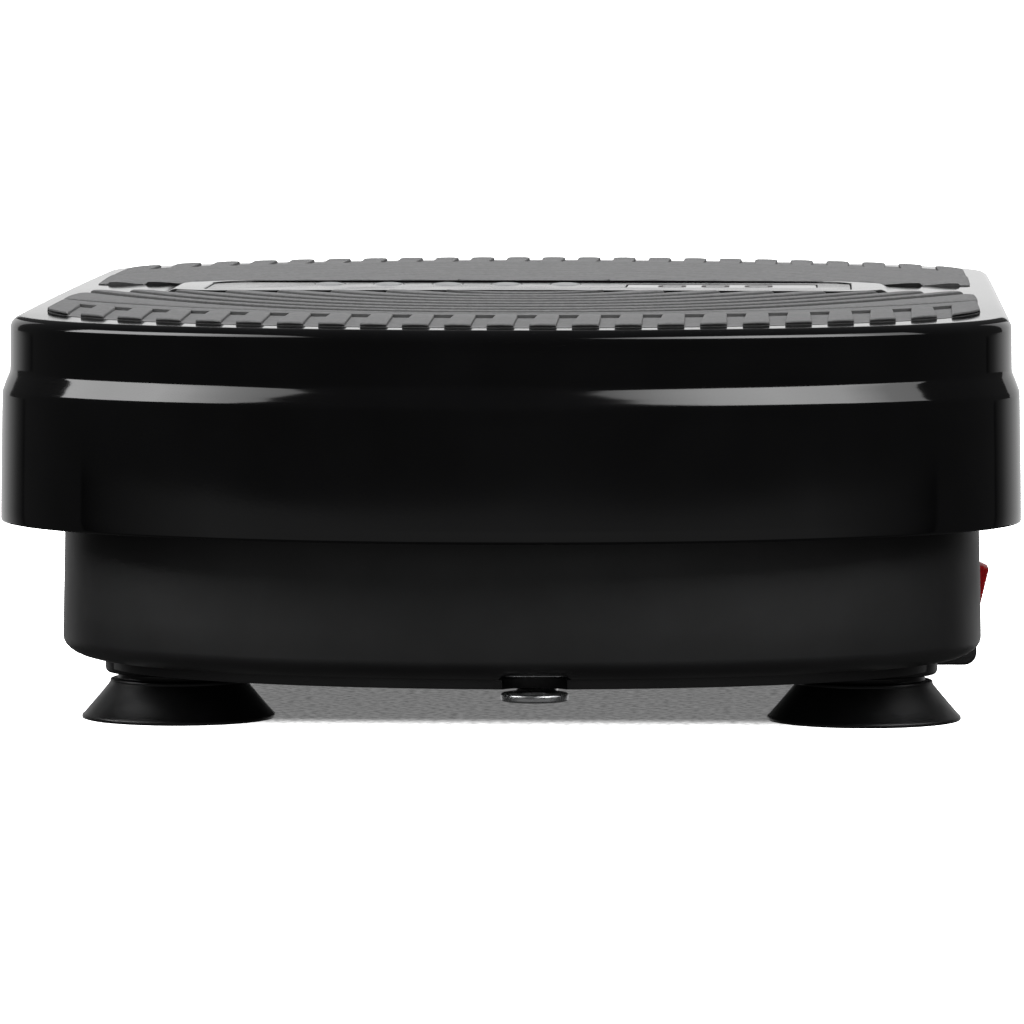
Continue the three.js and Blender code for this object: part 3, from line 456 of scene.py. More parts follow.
def painted_steel():
    look = Look("painted_steel", (0.022, 0.023, 0.025), 0.45, metallic=0.2)
    look.mottle(look.noise(120), 0.2)
    look.rough(look.noise(90, 5), 0.36, 0.55)
    look.bump(look.noise(700, 3), 0.00006, 0.35)
    look.paler_crests((0.12, 0.12, 0.12), 0.5)
    return look


def brass():
    look = Look("brass", (0.62, 0.43, 0.17), 0.3, metallic=1.0)
    look.mottle(look.noise(400, 4), 0.15)
    look.rough(look.noise(500, 3), 0.22, 0.38)
    look.bump(look.noise(1800, 2), 0.00002, 0.3)
    return look


def red_plastic():
    look = Look("red_plastic", (0.62, 0.006, 0.01), 0.38, specular=0.3)
    look.mottle(look.noise(300, 4), 0.12)
    look.rough(look.noise(200, 4), 0.26, 0.4)
    look.bump(look.noise(2200, 2), 0.00002, 0.3)
    look.shader.inputs["Subsurface Weight"].default_value = 0.05
    look.paler_crests((0.8, 0.02, 0.02), 0.3)
    return look


def smoked_window():
    look = Look("smoked_window", (0.012, 0.011, 0.013), 0.05, specular=0.5)
    look.mottle(look.noise(60), 0.3)
    look.rough(look.noise(30, 5), 0.03, 0.08)
    look.bump(look.noise(40, 1), 0.00003, 0.2)
    return look


def silver_button():
    look = Look("silver_button", (0.42, 0.425, 0.43), 0.3, metallic=0.5)
    look.mottle(look.noise(600, 4), 0.05)
    look.rough(look.noise(400, 4), 0.3, 0.4)
    look.bump(look.noise(2500, 2), 0.0000015, 0.2)
    return look


def circuit_board():
    look = Look("circuit_board", (0.014, 0.09, 0.035), 0.4)
    look.mottle(look.noise(500, 2), 0.35, (1.2, 1.0, 0.8))
    look.rough(look.noise(300, 3), 0.3, 0.55)
    look.bump(look.noise(900, 2), 0.00008, 0.5)
    return look


def segment_grey():
    look = Look("segment_grey", (0.05, 0.045, 0.045), 0.3)
    look.mottle(look.noise(700, 3), 0.2)
    look.rough(look.noise(500, 3), 0.22, 0.38)
    return look


LOOKS = {
    maker.__name__: maker().material for maker in (
        gloss_black, panel_gloss, matte_black, grey_rubber, black_rubber, steel, painted_steel,
        brass, red_plastic, smoked_window, silver_button, circuit_board, segment_grey,
    )
}

# Looks of the CAD pieces that keep their own shapes, by how their names start.
CARRIED = {
    "steel": (
        "chassis_plate", "foot_bolt_", "cover_screw_", "pivot_pin_", "wrist_pin", "crankshaft",
        "crank_pulley", "connecting_rod", "motor_shaft", "motor_pulley", "band_ring_",
    ),
    "brass": ("inlet_pin_",),
    "black_rubber": ("drive_belt", "rubber_buffer_", "suction_foot_"),
    "circuit_board": ("power_board", "display_board"),
}
for node_name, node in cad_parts.items():
    slot = "painted_steel"
    for candidate, starts in CARRIED.items():
        if node_name.startswith(starts):
            slot = candidate
    node.data.materials.clear()
    node.data.materials.append(LOOKS[slot])
    for polygon in node.data.polygons:
        polygon.material_index = 0


def finish_piece(piece, look, body, slot, *nodes):
    """Gives a new piece its material and its body, and hides the nodes whose look it takes; the
    slot argument is not used.
    """
    piece.data.materials.clear()
    piece.data.materials.append(LOOKS[look])
    for polygon in piece.data.polygons:
        polygon.material_index = 0
    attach(piece, body)
    if nodes:
        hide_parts(*nodes)
    return piece


# ---- Top cover ----


def crown(x, y):
    """Height of the cover's slightly swelling top."""
    out = 0.5 * (x / 152) ** 2 + 0.9 * (y / 262) ** 2
    return CROWN_LOW + CROWN_RISE * (1 - np.clip(out, 0, 1))


def bezel(x, y):
    """How far a point stands on the raised frame, from 0 outside it to 1 on its top."""
    out_x = np.maximum(np.abs(x) - BEZEL_X + BEZEL_CORNER, 0)
    out_y = np.maximum(np.abs(y) - BEZEL_Y + BEZEL_CORNER, 0)
    return smooth(0.0, 3.2, BEZEL_CORNER - np.hypot(out_x, out_y))


def cover_top(loop):
    x, y = loop[:, 0], loop[:, 1]
    return crown(x, y) + BEZEL_RISE * bezel(x, y)


def inset_oval(inset):
    return oval(COVER_HALF_WIDTH - inset, COVER_HALF_LENGTH - inset, COVER_END - inset)


def recess_loop(guide, grow):
    """A rounded rectangle whose points lie in the directions of the guide's points."""
    outline = rounded_rectangle(
        PANEL_X + grow, PANEL_Y + grow, PANEL_CORNER + grow, steps=24,
    )
    dense = []
    for here, there in zip(outline, np.roll(outline, -1, 0)):
        gap = np.linalg.norm(there - here)
        for share in np.linspace(0, 1, max(2, int(gap / 1.5)), endpoint=False):
            dense.append(here + share * (there - here))
    dense = np.array(dense)
    angle = np.arctan2(dense[:, 1] / PANEL_Y, dense[:, 0] / PANEL_X)
    order = np.argsort(angle)
    wanted = np.arctan2(guide[:, 1] / COVER_HALF_LENGTH, guide[:, 0] / COVER_HALF_WIDTH)
    return np.stack([
        np.interp(wanted, angle[order], dense[order, k], period=2 * math.pi) for k in (0, 1)
    ], 1)


# (inset, height) up the outside of the cover, from the skirt's lower edge.
COVER_PROFILE = [
    (2.6, SKIRT_BOTTOM), (0.9, SKIRT_BOTTOM), (0.4, SKIRT_BOTTOM + 0.12),
    (0.12, SKIRT_BOTTOM + 0.4), (0.0, SKIRT_BOTTOM + 0.9), (0.02, 64.5), (0.1, 72),
    (0.22, 80), (0.36, 88), (0.5, 95), (0.58, 99.2), (0.66, 100.2), (0.86, 100.9),
    (1.18, 101.75), (1.5, 102.65), (1.84, 103.55), (2.2, 104.45), (2.6, 105.4),
    (2.86, 106.1), (2.95, 106.6), (2.99, 107.4), (3.02, 109), (3.05, 112), (3.08, 116),
    (EDGE_INSET, 119.0),
]
# How far each ring on the cover's top lies beyond the panel, going inwards.
PANEL_RINGS = (
    14, 12.5, 11.5, 10.5, 9.5, 8.5, 7, 5.5, 4.6, 3.9, 3.4, 3.0, 2.6, 2.2, 1.8, 1.4, 1.0, 0.7, 0.45,
)


def cover_moulding():
    rows = []
    for inset, height in COVER_PROFILE:
        rows.append(at_height(inset_oval(inset), height))
    base = CROWN_LOW - EDGE_RADIUS
    for step in range(1, 9):
        angle = math.pi / 2 * step / 8
        loop = inset_oval(EDGE_INSET + EDGE_RADIUS * (1 - math.cos(angle)))
        top = crown(loop[:, 0], loop[:, 1])
        rows.append(at_height(loop, base + (top - base) * math.sin(angle)))
    edge = inset_oval(EDGE_INSET + EDGE_RADIUS + 1.5)
    rows.append(at_height(edge, crown(edge[:, 0], edge[:, 1])))
    rim = recess_loop(edge, RIM_BEYOND_PANEL)
    for share in (0.04, 0.12, 0.25, 0.4, 0.55, 0.7, 0.85, 1.0):
        loop = edge + (rim - edge) * share
        rows.append(at_height(loop, cover_top(loop)))
    for grow in PANEL_RINGS:
        loop = recess_loop(edge, grow)
        rows.append(at_height(loop, cover_top(loop)))
    for angle in (30, 60, 90):
        turn = math.radians(angle)
        loop = recess_loop(edge, PANEL_WALL_ROUND * (1 - math.sin(turn)))
        rows.append(at_height(loop, cover_top(loop) - PANEL_WALL_ROUND * (1 - math.cos(turn))))
    wall = recess_loop(edge, 0.0)
    rows.append(at_height(wall, PANEL_FACE - 0.6))
    rows.append(at_height(wall, CEILING))
    inner = inset_oval(COVER_WALL_INSET)
    for share in (0.3, 0.7, 1.0):
        rows.append(at_height(wall + (inner - wall) * share, CEILING))
    rows.append(at_height(inset_oval(6.6), STEP_HIGH))
    rows.append(at_height(inset_oval(3.6), STEP_LOW))
    rows.append(at_height(inset_oval(3.0), SKIRT_BOTTOM + 0.3))
    return loft("cover_moulding", rows, torus=True, sharp=50)


finish_piece(cover_moulding(), "gloss_black", "platform", "gloss_black", "top_cover")
COVER_BOSS_X = 85
COVER_BOSS_Y = 150
COVER_BOSS_PROFILE = [
    (2.8, 110.4), (5.6, 110.4), (6.0, 110.8), (6.3, 118), (8.2, CEILING - 0.01),
    (2.8, CEILING - 0.01),
]
for number, (sx, sy) in enumerate(CORNERS, 1):
    boss = lathe(
        f"cover_boss_{number}", COVER_BOSS_PROFILE, COVER_BOSS_X * sx, COVER_BOSS_Y * sy, 40,
    )
    finish_piece(boss, "gloss_black", "platform", "gloss_black")

# ---- Foot mats ----

GROOVE_TIPS = (25.0, 45.3, 63.0, 80.0, 96.5, 113.0, 127.5, 140.0)
GROOVE_CROSSINGS = (59.0, 76.0, 92.0, 108.0, 125.0, 142.0, 159.0, 175.0)
LAST_CROSSING = 189.0
LAST_SIDE = 92.0
BEND = 2.3


def inner_line(x):
    """Distance of a mat's inner edge from the middle of the plate."""
    return 40.0 - 7.0 * smooth(102, 119, np.abs(x))


def outer_line(x):
    share = np.clip(np.abs(x) / MAT_HALF_WIDTH, 0, 1)
    return MAT_HALF_LENGTH - MAT_END * (1 - np.sqrt(1 - share ** 2))


def groove_curve(number, x):
    """Distance of a chevron groove from the middle of the plate."""
    if number < 0:
        return inner_line(x)
    if number < len(GROOVE_TIPS):
        tip = GROOVE_TIPS[number]
        cross = GROOVE_CROSSINGS[number]
        end = inner_line(tip)
    else:
        tip, cross, end = MAT_HALF_WIDTH, LAST_CROSSING, LAST_SIDE
    return cross - (cross - end) * (np.abs(x) / tip) ** BEND


def strip(side_a, side_b, section, stations, drops, ends=None):
    """A closed raised strip between two curves; returns its points and faces.

    side_a and side_b give (x, distance) for a station from -1 to 1. section is a list of
    (share across, depth below the mat's top). ends(share, sign) is the outline that the
    strip's end is drawn out to.
    """
    shares = np.array([s for s, _ in section])
    depths = np.array([d for _, d in section])
    rows = []
    for station, drop in zip(stations, drops):
        start = np.array(side_a(station))
        stop = np.array(side_b(station))
        line = start + (stop - start) * shares[:, None]
        if ends is not None:
            sign = 1 if station > 0 else -1
            edge_a = np.array(side_a(sign))
            edge_b = np.array(side_b(sign))
            pull = smooth(0.72, 1.0, abs(station))
            line = line + pull * (ends(shares, sign) - edge_a - (edge_b - edge_a) * shares[:, None])
        depth = depths + drop
        rows.append((line, depth))
    points = []
    for line, depth in rows:
        top = crown(line[:, 0], line[:, 1])
        upper = np.concatenate([line, (top + MAT_THICK - depth)[:, None]], 1)
        low_left = [[line[0][0], line[0][1], top[0] + SKIN]]
        low_right = [[line[-1][0], line[-1][1], top[-1] + SKIN]]
        points.append(np.concatenate([low_left, upper, low_right]))
    return np.concatenate(points), body_faces(len(points), len(points[0]))


def end_stations(inner=64, edge=0.004):
    """Stations from -1 to 1 with the top rounded over at both ends."""
    body = np.sin(np.linspace(-1, 1, inner) * math.pi / 2) * (1 - 3 * edge)
    stations = [-1, -1 + edge, -1 + 2 * edge, *body, 1 - 2 * edge, 1 - edge, 1]
    drops = [0.45, 0.14, 0.03] + [0.0] * inner + [0.03, 0.14, 0.45]
    return stations, drops


def rib_section(width, samples=11):
    """A rib's sawtooth section: it rises from its inner side and drops at its outer one."""
    gap = min(0.3, GROOVE / 2 / width)
    edge = min(0.12, 0.6 / width)
    section = [(gap * 0.4, 1.02), (gap * 0.7, 0.9)]
    for share in np.linspace(gap, 1 - gap - edge, samples):
        section.append((share, 0.84 * (1 - smooth(-0.1, 0.8, share))))
    section += [(1 - gap - edge * 0.45, 0.09), (1 - gap, 0.3), (1 - gap * 0.8, 0.75),
                (1 - gap * 0.75, 1.1)]
    return section


def mat_slab():
    """The slab that shows in the grooves and slots."""
    columns = MAT_HALF_WIDTH * np.sin(np.linspace(-1, 1, 161) * math.pi / 2) * 0.9985
    shares = np.linspace(0, 1, 22)
    rows = []
    for number, x in enumerate(columns):
        near = float(inner_line(x)) + 1.2
        far = float(outer_line(x)) - 0.05
        border = number in (0, len(columns) - 1)
        across = near + (far - near) * shares
        drop = 0.2 if border else 0.2 * smooth(0.9, 1.0, shares)
        upper = np.stack([np.full(22, x), across, crown(x, across) + MAT_GROOVE - drop], 1)
        under = across[::-7][:4]
        lower = np.stack([np.full(4, x), under, crown(x, under) + SKIN], 1)
        rows.append(np.concatenate([upper, lower]))
    return np.concatenate(rows), body_faces(len(rows), len(rows[0]))


def chevron_rib(number):
    """The rib between one chevron groove and the next; rib -1 has the mat's inner edge."""
    stations, drops = end_stations()
    final = number == len(GROOVE_TIPS) - 1
    tip_a = GROOVE_TIPS[max(number, 0)]
    tip_b = MAT_HALF_WIDTH if final else GROOVE_TIPS[number + 1]

    def side_a(u):
        x = u * tip_a
        return x, float(groove_curve(number, x))

    def side_b(u):
        x = u * tip_b
        near = float(groove_curve(number, min(abs(x), tip_a)))
        return x, max(float(groove_curve(number + 1, x)), near + 0.3 if number < 0 else 0.0)

    def scalloped(shares, sign):
        """Each rib end steps out towards its far side, round the nose."""
        x = tip_a + (tip_b - tip_a) * shares
        nose = 1 - np.clip((shares - 0.86) / 0.14, 0, 1) ** 2 * 0.75
        step = 0.9 * shares ** 1.3 * nose
        return np.stack([sign * x, inner_line(x) - step], 1)

    def cornered(shares, sign):
        """The last rib runs round the mat's corner to its side."""
        first = MAT_HALF_WIDTH - tip_a
        along = shares * (first + LAST_SIDE - inner_line(MAT_HALF_WIDTH))
        corner = 7.0
        x = np.where(along < first, tip_a + along, MAT_HALF_WIDTH)
        y = inner_line(x) - 0.9 * np.clip(along / first, 0, 1) + np.clip(along - first, 0, None)
        bend = np.clip(1 - np.abs(along - first) / corner, 0, 1) ** 2 * corner * 0.3
        return np.stack([sign * (x - bend), y + bend], 1)

    section = rib_section((side_b(0)[1] - side_a(0)[1]) * 0.8, 31 if final else 11)
    ends = None if number < 0 else cornered if final else scalloped
    return strip(side_a, side_b, section, stations, drops, ends)


LUG_BAND_SECTION = [
    (0.03, 1.0), (0.06, 0.6), (0.1, 0.35), (0.3, 0.08), (0.5, 0.0), (0.8, 0.0), (0.98, 0.04),
    (1.0, 0.16),
]


def lug_band():
    """The band that the lugs grow from."""
    stations, drops = end_stations()
    reach = MAT_HALF_WIDTH - 0.3

    def band_inner(u):
        return u * reach, float(groove_curve(len(GROOVE_TIPS), u * reach))

    def band_outer(u):
        x = u * reach
        return x, max(float(outer_line(x)) - LUG_LENGTH, band_inner(u)[1] + 0.4)

    return strip(band_inner, band_outer, LUG_BAND_SECTION, stations, drops)


# (share across, depth) over a lug, and (distance from its outer end, drop) along it.
LUG_ACROSS = [
    (-1.0, 0.42), (-0.96, 0.2), (-0.86, 0.1), (-0.6, 0.03), (-0.3, 0.0), (0.3, 0.0), (0.6, 0.03),
    (0.86, 0.1), (0.96, 0.2), (1.0, 0.42),
]
LUG_REACH = LUG_LENGTH + 2.0
LUG_ALONG = [
    (LUG_REACH, 0.0), (LUG_REACH * 0.6, 0.0), (LUG_REACH * 0.3, 0.0), (3.0, 0.0), (1.2, 0.03),
    (0.5, 0.12), (0.12, 0.32), (0.0, 0.6),
]


def mat_lug(number):
    """One lug of the comb along the mat's outer end."""
    half = LUG_WIDTH / 2
    waist = LUG_WAIST / 2
    middle = number * LUG_PITCH
    shares = np.array([share for share, _ in LUG_ACROSS])
    depths = np.array([depth for _, depth in LUG_ACROSS])
    rows = []
    for back, drop in LUG_ALONG:
        across = middle + shares * (half + (waist - half) * back / LUG_REACH)
        if abs(number) == LAST_LUG:
            to_side = middle + shares * (MAT_HALF_WIDTH - 0.4 - abs(middle))
            across = np.where(np.sign(number) * shares > 0, to_side, across)
        far = outer_line(across)
        corner = 1.1 * np.clip((np.abs(shares) - 0.72) / 0.28, 0, 1) ** 2
        end = far - corner * (1 if back < 4 else 0) - back
        line = np.stack([across, np.maximum(end, far - LUG_REACH)], 1)
        top = crown(line[:, 0], line[:, 1])
        upper = np.concatenate([line, (top + MAT_THICK - depths - drop)[:, None]], 1)
        rows.append(np.concatenate([
            [[line[0][0], line[0][1], top[0] + SKIN]], upper,
            [[line[-1][0], line[-1][1], top[-1] + SKIN]],
        ]))
    return np.concatenate(rows), body_faces(len(rows), len(rows[0]))


def mat_parts():
    """All closed pieces of a mat as lists of (x, distance, height) points and faces."""
    ribs = [chevron_rib(number) for number in range(-1, len(GROOVE_TIPS))]
    lugs = [mat_lug(number) for number in range(-LAST_LUG, LAST_LUG + 1)]
    return [mat_slab(), *ribs, lug_band(), *lugs]


mat_pieces = mat_parts()
for label, end in ENDS:
    turned = [(points * np.array([1, end, 1]), faces) for points, faces in mat_pieces]
    mat = joined(f"mat_{label}_rubber", turned, 32)
    finish_piece(mat, "grey_rubber", "platform", "grey_rubber", f"mat_{label}")

# ---- Control panel ----

BUTTON_FIRST_X = -65.8
BUTTON_PITCH = 19.2
BUTTON_Y = 20.0
BUTTONS = [(BUTTON_FIRST_X + BUTTON_PITCH * number, BUTTON_Y) for number in range(5)]


def window_outline(gap):
    return rounded_rectangle(
        WINDOW_HALF_X - gap, WINDOW_HALF_Y - gap, WINDOW_CORNER - gap, WINDOW_X, WINDOW_Y,
    )


def panel_outline(gap):
    return rounded_rectangle(PANEL_X - gap, PANEL_Y - gap, PANEL_CORNER - gap, steps=16)


panel = prism(
    "panel_strip", panel_outline(PANEL_GAP), top_rounded(PANEL_FOOT, PANEL_FACE, 0.3),
    holes=[circle(BUTTON_RADIUS + PANEL_GAP, x, y) for x, y in BUTTONS] + [window_outline(0)],
)
finish_piece(panel, "panel_gloss", "platform", "gloss_black", "control_panel")
flange = prism(
    "panel_flange",
    rounded_rectangle(PANEL_X + 5, PANEL_Y + 5, PANEL_CORNER, steps=12),
    rounded_levels(PANEL_FOOT, CEILING - 0.3, 0.4),
    holes=[panel_outline(0.4)],
)
finish_piece(flange, "matte_black", "platform", "matte_black")

lens = prism(
    "display_lens", window_outline(WINDOW_GAP), top_rounded(PANEL_FOOT, PANEL_FACE - 0.1, 0.3),
)
finish_piece(lens, "smoked_window", "platform", "smoked_window", "display_window")


def seven_segments(x, y, width, height, stroke):
    """The seven bars of a digit, as six-cornered outlines."""
    half = height / 2
    bars = []
    for row in (-half, 0, half):
        bars.append(((x - width / 2, y + row), (x + width / 2, y + row)))
    for column in (-width / 2, width / 2):
        for low, high in ((-half, 0), (0, half)):
            bars.append(((x + column, y + low), (x + column, y + high)))
    outlines = []
    for (ax, ay), (bx, by) in bars:
        start, stop = np.array((ax, ay)), np.array((bx, by))
        along = (stop - start) / np.linalg.norm(stop - start)
        side = np.array((-along[1], along[0])) * stroke / 2
        inner = along * stroke / 2
        gap = along * 0.18
        outlines.append(np.array([
            start + gap, start + gap + inner - side, stop - gap - inner - side,
            stop - gap, stop - gap - inner + side, start + gap + inner + side,
        ]))
    return outlines


DIGIT_FIRST_X = 46
DIGIT_PITCH = 14
DIGIT_WIDTH = 7.5
DIGIT_HEIGHT = 13.5
DIGIT_STROKE = 1.5
bars = []
for place in range(3):
    bars += seven_segments(
        DIGIT_FIRST_X + DIGIT_PITCH * place, WINDOW_Y, DIGIT_WIDTH, DIGIT_HEIGHT, DIGIT_STROKE,
    )
digits = joined("display_digits", [
    (
        np.concatenate([at_height(bar, PANEL_FACE - 0.12), at_height(bar, PANEL_FACE - 0.06)]),
        body_faces(2, len(bar)),
    )
    for bar in bars
])
finish_piece(digits, "segment_grey", "platform", "smoked_window")

DOME_FOOT = PANEL_FACE - 0.25
DOME_RISE = 0.85
DOME_STEPS = 8
button_profile = [
    (0.0, 115.4), (6.2, 115.4), (BUTTON_FLANGE, 115.5), (BUTTON_FLANGE, 116.5), (6.1, 116.6),
    (BUTTON_RADIUS, 116.6), (BUTTON_RADIUS, DOME_FOOT),
]
for step in range(1, DOME_STEPS + 1):
    angle = math.pi / 2 * step / DOME_STEPS
    radius = BUTTON_RADIUS * math.cos(angle) if step < DOME_STEPS else 0.0
    button_profile.append((radius, DOME_FOOT + DOME_RISE * math.sin(angle) ** 0.8))
for number, (x, y) in enumerate(BUTTONS, 1):
    cap = lathe(f"button_cap_{number}", button_profile, x, y, 64)
    finish_piece(cap, "silver_button", f"button_{number}", "silver_button", f"button_{number}")

# ---- Base tray ----

FOOT_X = 104.4
FOOT_Y = 162.0
FEET = [(TRAY_SHIFT + side * FOOT_X, end * FOOT_Y) for side, end in CORNERS]

ENTRY_Z = 28.4              # middle of the inlet and the rocker
ENTRY_BACK = TRAY_SHIFT + 112.0


def tray_loop(inset):
    loop = oval(TRAY_HALF_WIDTH - inset, TRAY_HALF_LENGTH - inset, TRAY_END - inset, 80, 16)
    return loop + np.array((TRAY_SHIFT, 0.0))


# (inset, height) over the tray's sole, then up its side, over its rim and down inside.
SOLE_PROFILE = [
    (14.0, TRAY_BOTTOM), (13.6, TRAY_BOTTOM + 0.1), (13.5, TRAY_BOTTOM + 0.4),
    (13.5, TRAY_SOLE - 0.1), (13.2, TRAY_SOLE),
]
WALL_PROFILE = [
    (0.15, 34), (0.5, 50), (0.9, 72.6), (1.05, 73.6), (1.4, TRAY_TOP), (3.4, TRAY_TOP),
    (3.9, 73.6), (4.0, 72.6), (4.0, 34), (5.0, 28), (6.8, 25), (9.5, 22.5), (11.5, 20.8),
    (13, 19.6), (15, 18.9), (16, TRAY_SOLE),
]
TRAY_EDGE_WIDTH = 12
TRAY_EDGE_HEIGHT = 6.5
TRAY_EDGE_STEPS = 8


def base_tray():
    profile = list(SOLE_PROFILE)
    for step in range(TRAY_EDGE_STEPS + 1):
        angle = math.pi / 2 * step / TRAY_EDGE_STEPS
        profile.append((
            TRAY_EDGE_WIDTH * (1 - math.sin(angle)),
            TRAY_SOLE + TRAY_EDGE_HEIGHT * (1 - math.cos(angle)),
        ))
    profile += WALL_PROFILE
    rows = [at_height(tray_loop(inset), height) for inset, height in profile]
    tray = loft("tray_moulding", rows)
    tools = []
    entry = prism(
        "tool_entry", rounded_rectangle(16.7, 25.3, 0.5, ENTRY_Z, -86, 4),
        [(0, TRAY_SHIFT + 111.7), (0, 150)],
    )
    entry.data.transform(Matrix((
        (0, 0, 1, 0), (0, 1, 0, 0), (1, 0, 0, 0), (0, 0, 0, 1),
    )))
    entry.data.flip_normals()
    tools.append(entry)
    for label, end in ENDS:
        tools.append(prism(
            f"tool_ring_{label}", circle(RING_RADIUS + 0.8, RING_X, RING_Y * end),
            [(0, 12), (0, 20.5)],
        ))
    for number, (x, y) in enumerate(FEET):
        tools.append(prism(f"tool_bolt_{number}", circle(3.3, x, y, 32), [(0, 12), (0, 20)]))
    return cut(tray, *tools)


finish_piece(base_tray(), "matte_black", "base", "matte_black", "base_tray")

FOOT_BOSS_PROFILE = [
    (3.4, 14.0), (20.8, 14.0), (21.6, 14.2), (22.1, 14.7), (22.3, 15.4), (22.3, 18.4),
    (22.8, 19.2), (3.4, 19.2),
]
# From the hollow under the cup, round its lip, up its flank and neck, to the bolt's hole.
CUP_PROFILE = [
    (0.0, 5.5), (5, 5.4), (9, 5.0), (13.5, 4.4), (18, 3.6), (22.5, 1.9), (26.8, 0.15),
    (27.6, 0.0), (29.1, 0.0), (29.4, 0.12), (29.5, 0.35), (29.5, 0.9), (29.3, 1.25),
    (28.7, 1.75), (26.2, 4.65), (23.6, 7.7), (21.3, 10.5), (20.85, 11.2), (20.9, 11.6),
    (20.75, 12.0), (20.2, 12.2), (19.2, 12.2), (18.7, 12.35), (18.5, 12.7), (18.5, 13.7),
    (3.35, 13.7), (3.35, 8.0), (0.0, 8.0),
]
for number, (x, y) in enumerate(FEET, 1):
    boss = lathe(f"foot_boss_{number}", FOOT_BOSS_PROFILE, x, y, 72)
    finish_piece(boss, "matte_black", "base", "matte_black")
    cup = lathe(f"foot_cup_{number}", CUP_PROFILE, x, y, 128)
    finish_piece(cup, "black_rubber", "base", "black_rubber", f"suction_foot_{number}")

# ---- Band rings ----


def ring_outline(end):
    """An eye with a tongue that runs in under the tray, anticlockwise."""
    centre = np.array((RING_X, RING_Y * end))
    open_angle = math.asin(RING_TONGUE / RING_RADIUS)
    inward = -end * math.pi / 2
    angles = np.linspace(inward + open_angle, inward + 2 * math.pi - open_angle, 72)
    arc = centre + RING_RADIUS * np.stack([np.cos(angles), np.sin(angles)], 1)
    tail = RING_TAIL * end
    corners = np.array([(RING_X - RING_TONGUE * end, tail), (RING_X + RING_TONGUE * end, tail)])
    return np.concatenate([arc, corners])


for label, end in ENDS:
    outline = ring_outline(end)
    area = np.sum(
        outline[:, 0] * np.roll(outline[:, 1], -1) - np.roll(outline[:, 0], -1) * outline[:, 1]
    )
    if area < 0:
        outline = outline[::-1]
    ring = prism(
        f"ring_{label}_eye", outline, rounded_levels(12.7, 15.1, 0.7, 4),
        holes=[circle(RING_HOLE, RING_X, RING_Y * end)],
    )
    finish_piece(ring, "steel", "base", "steel", f"band_ring_{label}")

# ---- Mains inlet and power rocker ----

ENTRY_FACE = TRAY_SHIFT + 139.6
ROCKER_X = TRAY_SHIFT + 137.1
ROCKER_Y = -73.0
ROCKER_HALF_WIDTH = 10
ROCKER_HALF_HEIGHT = 12
ROCKER_PEAK = 4.0           # outer ridge, from the axis
ROCKER_LEAN = 4.4           # degrees between each half of its face and the upright
ROCKER_HEEL = 7             # depth behind the axis
ROCKER_TILT = 9             # degrees at rest


def arc_points(z, x, radius, start, stop, steps):
    """An arc seen from the front, as (z, x) points."""
    angles = np.linspace(start, stop, steps)
    return np.stack([z + radius * np.cos(angles), x + radius * np.sin(angles)], 1)


def inlet_module():
    side = np.concatenate([
        [[12.0, ENTRY_BACK], [44.8, ENTRY_BACK]],
        arc_points(43.8, ENTRY_FACE - 1.0, 1.0, 0, math.pi / 2, 6),
        arc_points(16.0, ENTRY_FACE - 4.0, 4.0, math.pi / 2, math.pi, 12),
    ])
    body = prism("inlet_module", side, rounded_levels(-111.0, -61.0, 0.8), axis="y")
    well = prism(
        "tool_well", rounded_rectangle(13.3, 6.2, 0.6, ENTRY_Z, ROCKER_X - 0.8, 4),
        [(0, ROCKER_Y - 10.5), (0, ROCKER_Y + 10.5)], axis="y",
    )
    socket = prism(
        "tool_socket", rounded_rectangle(12, 9.5, 0.4, ENTRY_Z, ENTRY_FACE - 8.5, 4),
        [(0, -107.5), (0, -89.5)], axis="y",
    )
    pivot = prism(
        "tool_pivot", circle(1.9, ENTRY_Z, ROCKER_X, 24),
        [(0, ROCKER_Y - 11.9), (0, ROCKER_Y + 11.9)], axis="y",
    )
    return cut(body, well, socket, pivot)


finish_piece(inlet_module(), "matte_black", "base", "matte_black", "power_entry")


def rocker():
    lean = ROCKER_HALF_HEIGHT * math.tan(math.radians(ROCKER_LEAN))
    reach = math.hypot(ROCKER_PEAK + lean, ROCKER_HALF_HEIGHT)
    end = math.acos(ROCKER_HALF_HEIGHT / reach)
    heel = math.asin(ROCKER_HEEL / reach) * 0.6
    outline = np.concatenate([
        [[0.0, ROCKER_PEAK]],
        arc_points(0, 0, reach, math.pi - end, math.pi + heel, 14),
        [[-6.0, -ROCKER_HEEL], [6.0, -ROCKER_HEEL]],
        arc_points(0, 0, reach, -heel, end, 14),
    ])
    tilt = math.radians(ROCKER_TILT)
    z, x = outline[:, 0].copy(), outline[:, 1].copy()
    outline[:, 0] = ENTRY_Z + z * math.cos(tilt) - x * math.sin(tilt)
    outline[:, 1] = ROCKER_X + z * math.sin(tilt) + x * math.cos(tilt)
    levels = rounded_levels(ROCKER_Y - ROCKER_HALF_WIDTH, ROCKER_Y + ROCKER_HALF_WIDTH, 0.5)
    return prism("rocker_switch", outline, levels, axis="y", sharp=25)


finish_piece(rocker(), "red_plastic", "power_rocker", "red_plastic", "power_rocker")

# ---- Floor, light and camera ----


def glow_material():
    """Emission whose strength is the mesh's own glow value."""
    material = bpy.data.materials.new("card_glow")
    material.use_nodes = True
    tree = material.node_tree
    tree.nodes.remove(tree.nodes["Principled BSDF"])
    emission = tree.nodes.new("ShaderNodeEmission")
    glow = tree.nodes.new("ShaderNodeAttribute")
    glow.attribute_name = "glow"
    tree.links.new(glow.outputs["Fac"], emission.inputs["Strength"])
    tree.links.new(emission.outputs["Emission"], tree.nodes["Material Output"].inputs["Surface"])
    return material


CARD_GLOW = glow_material()


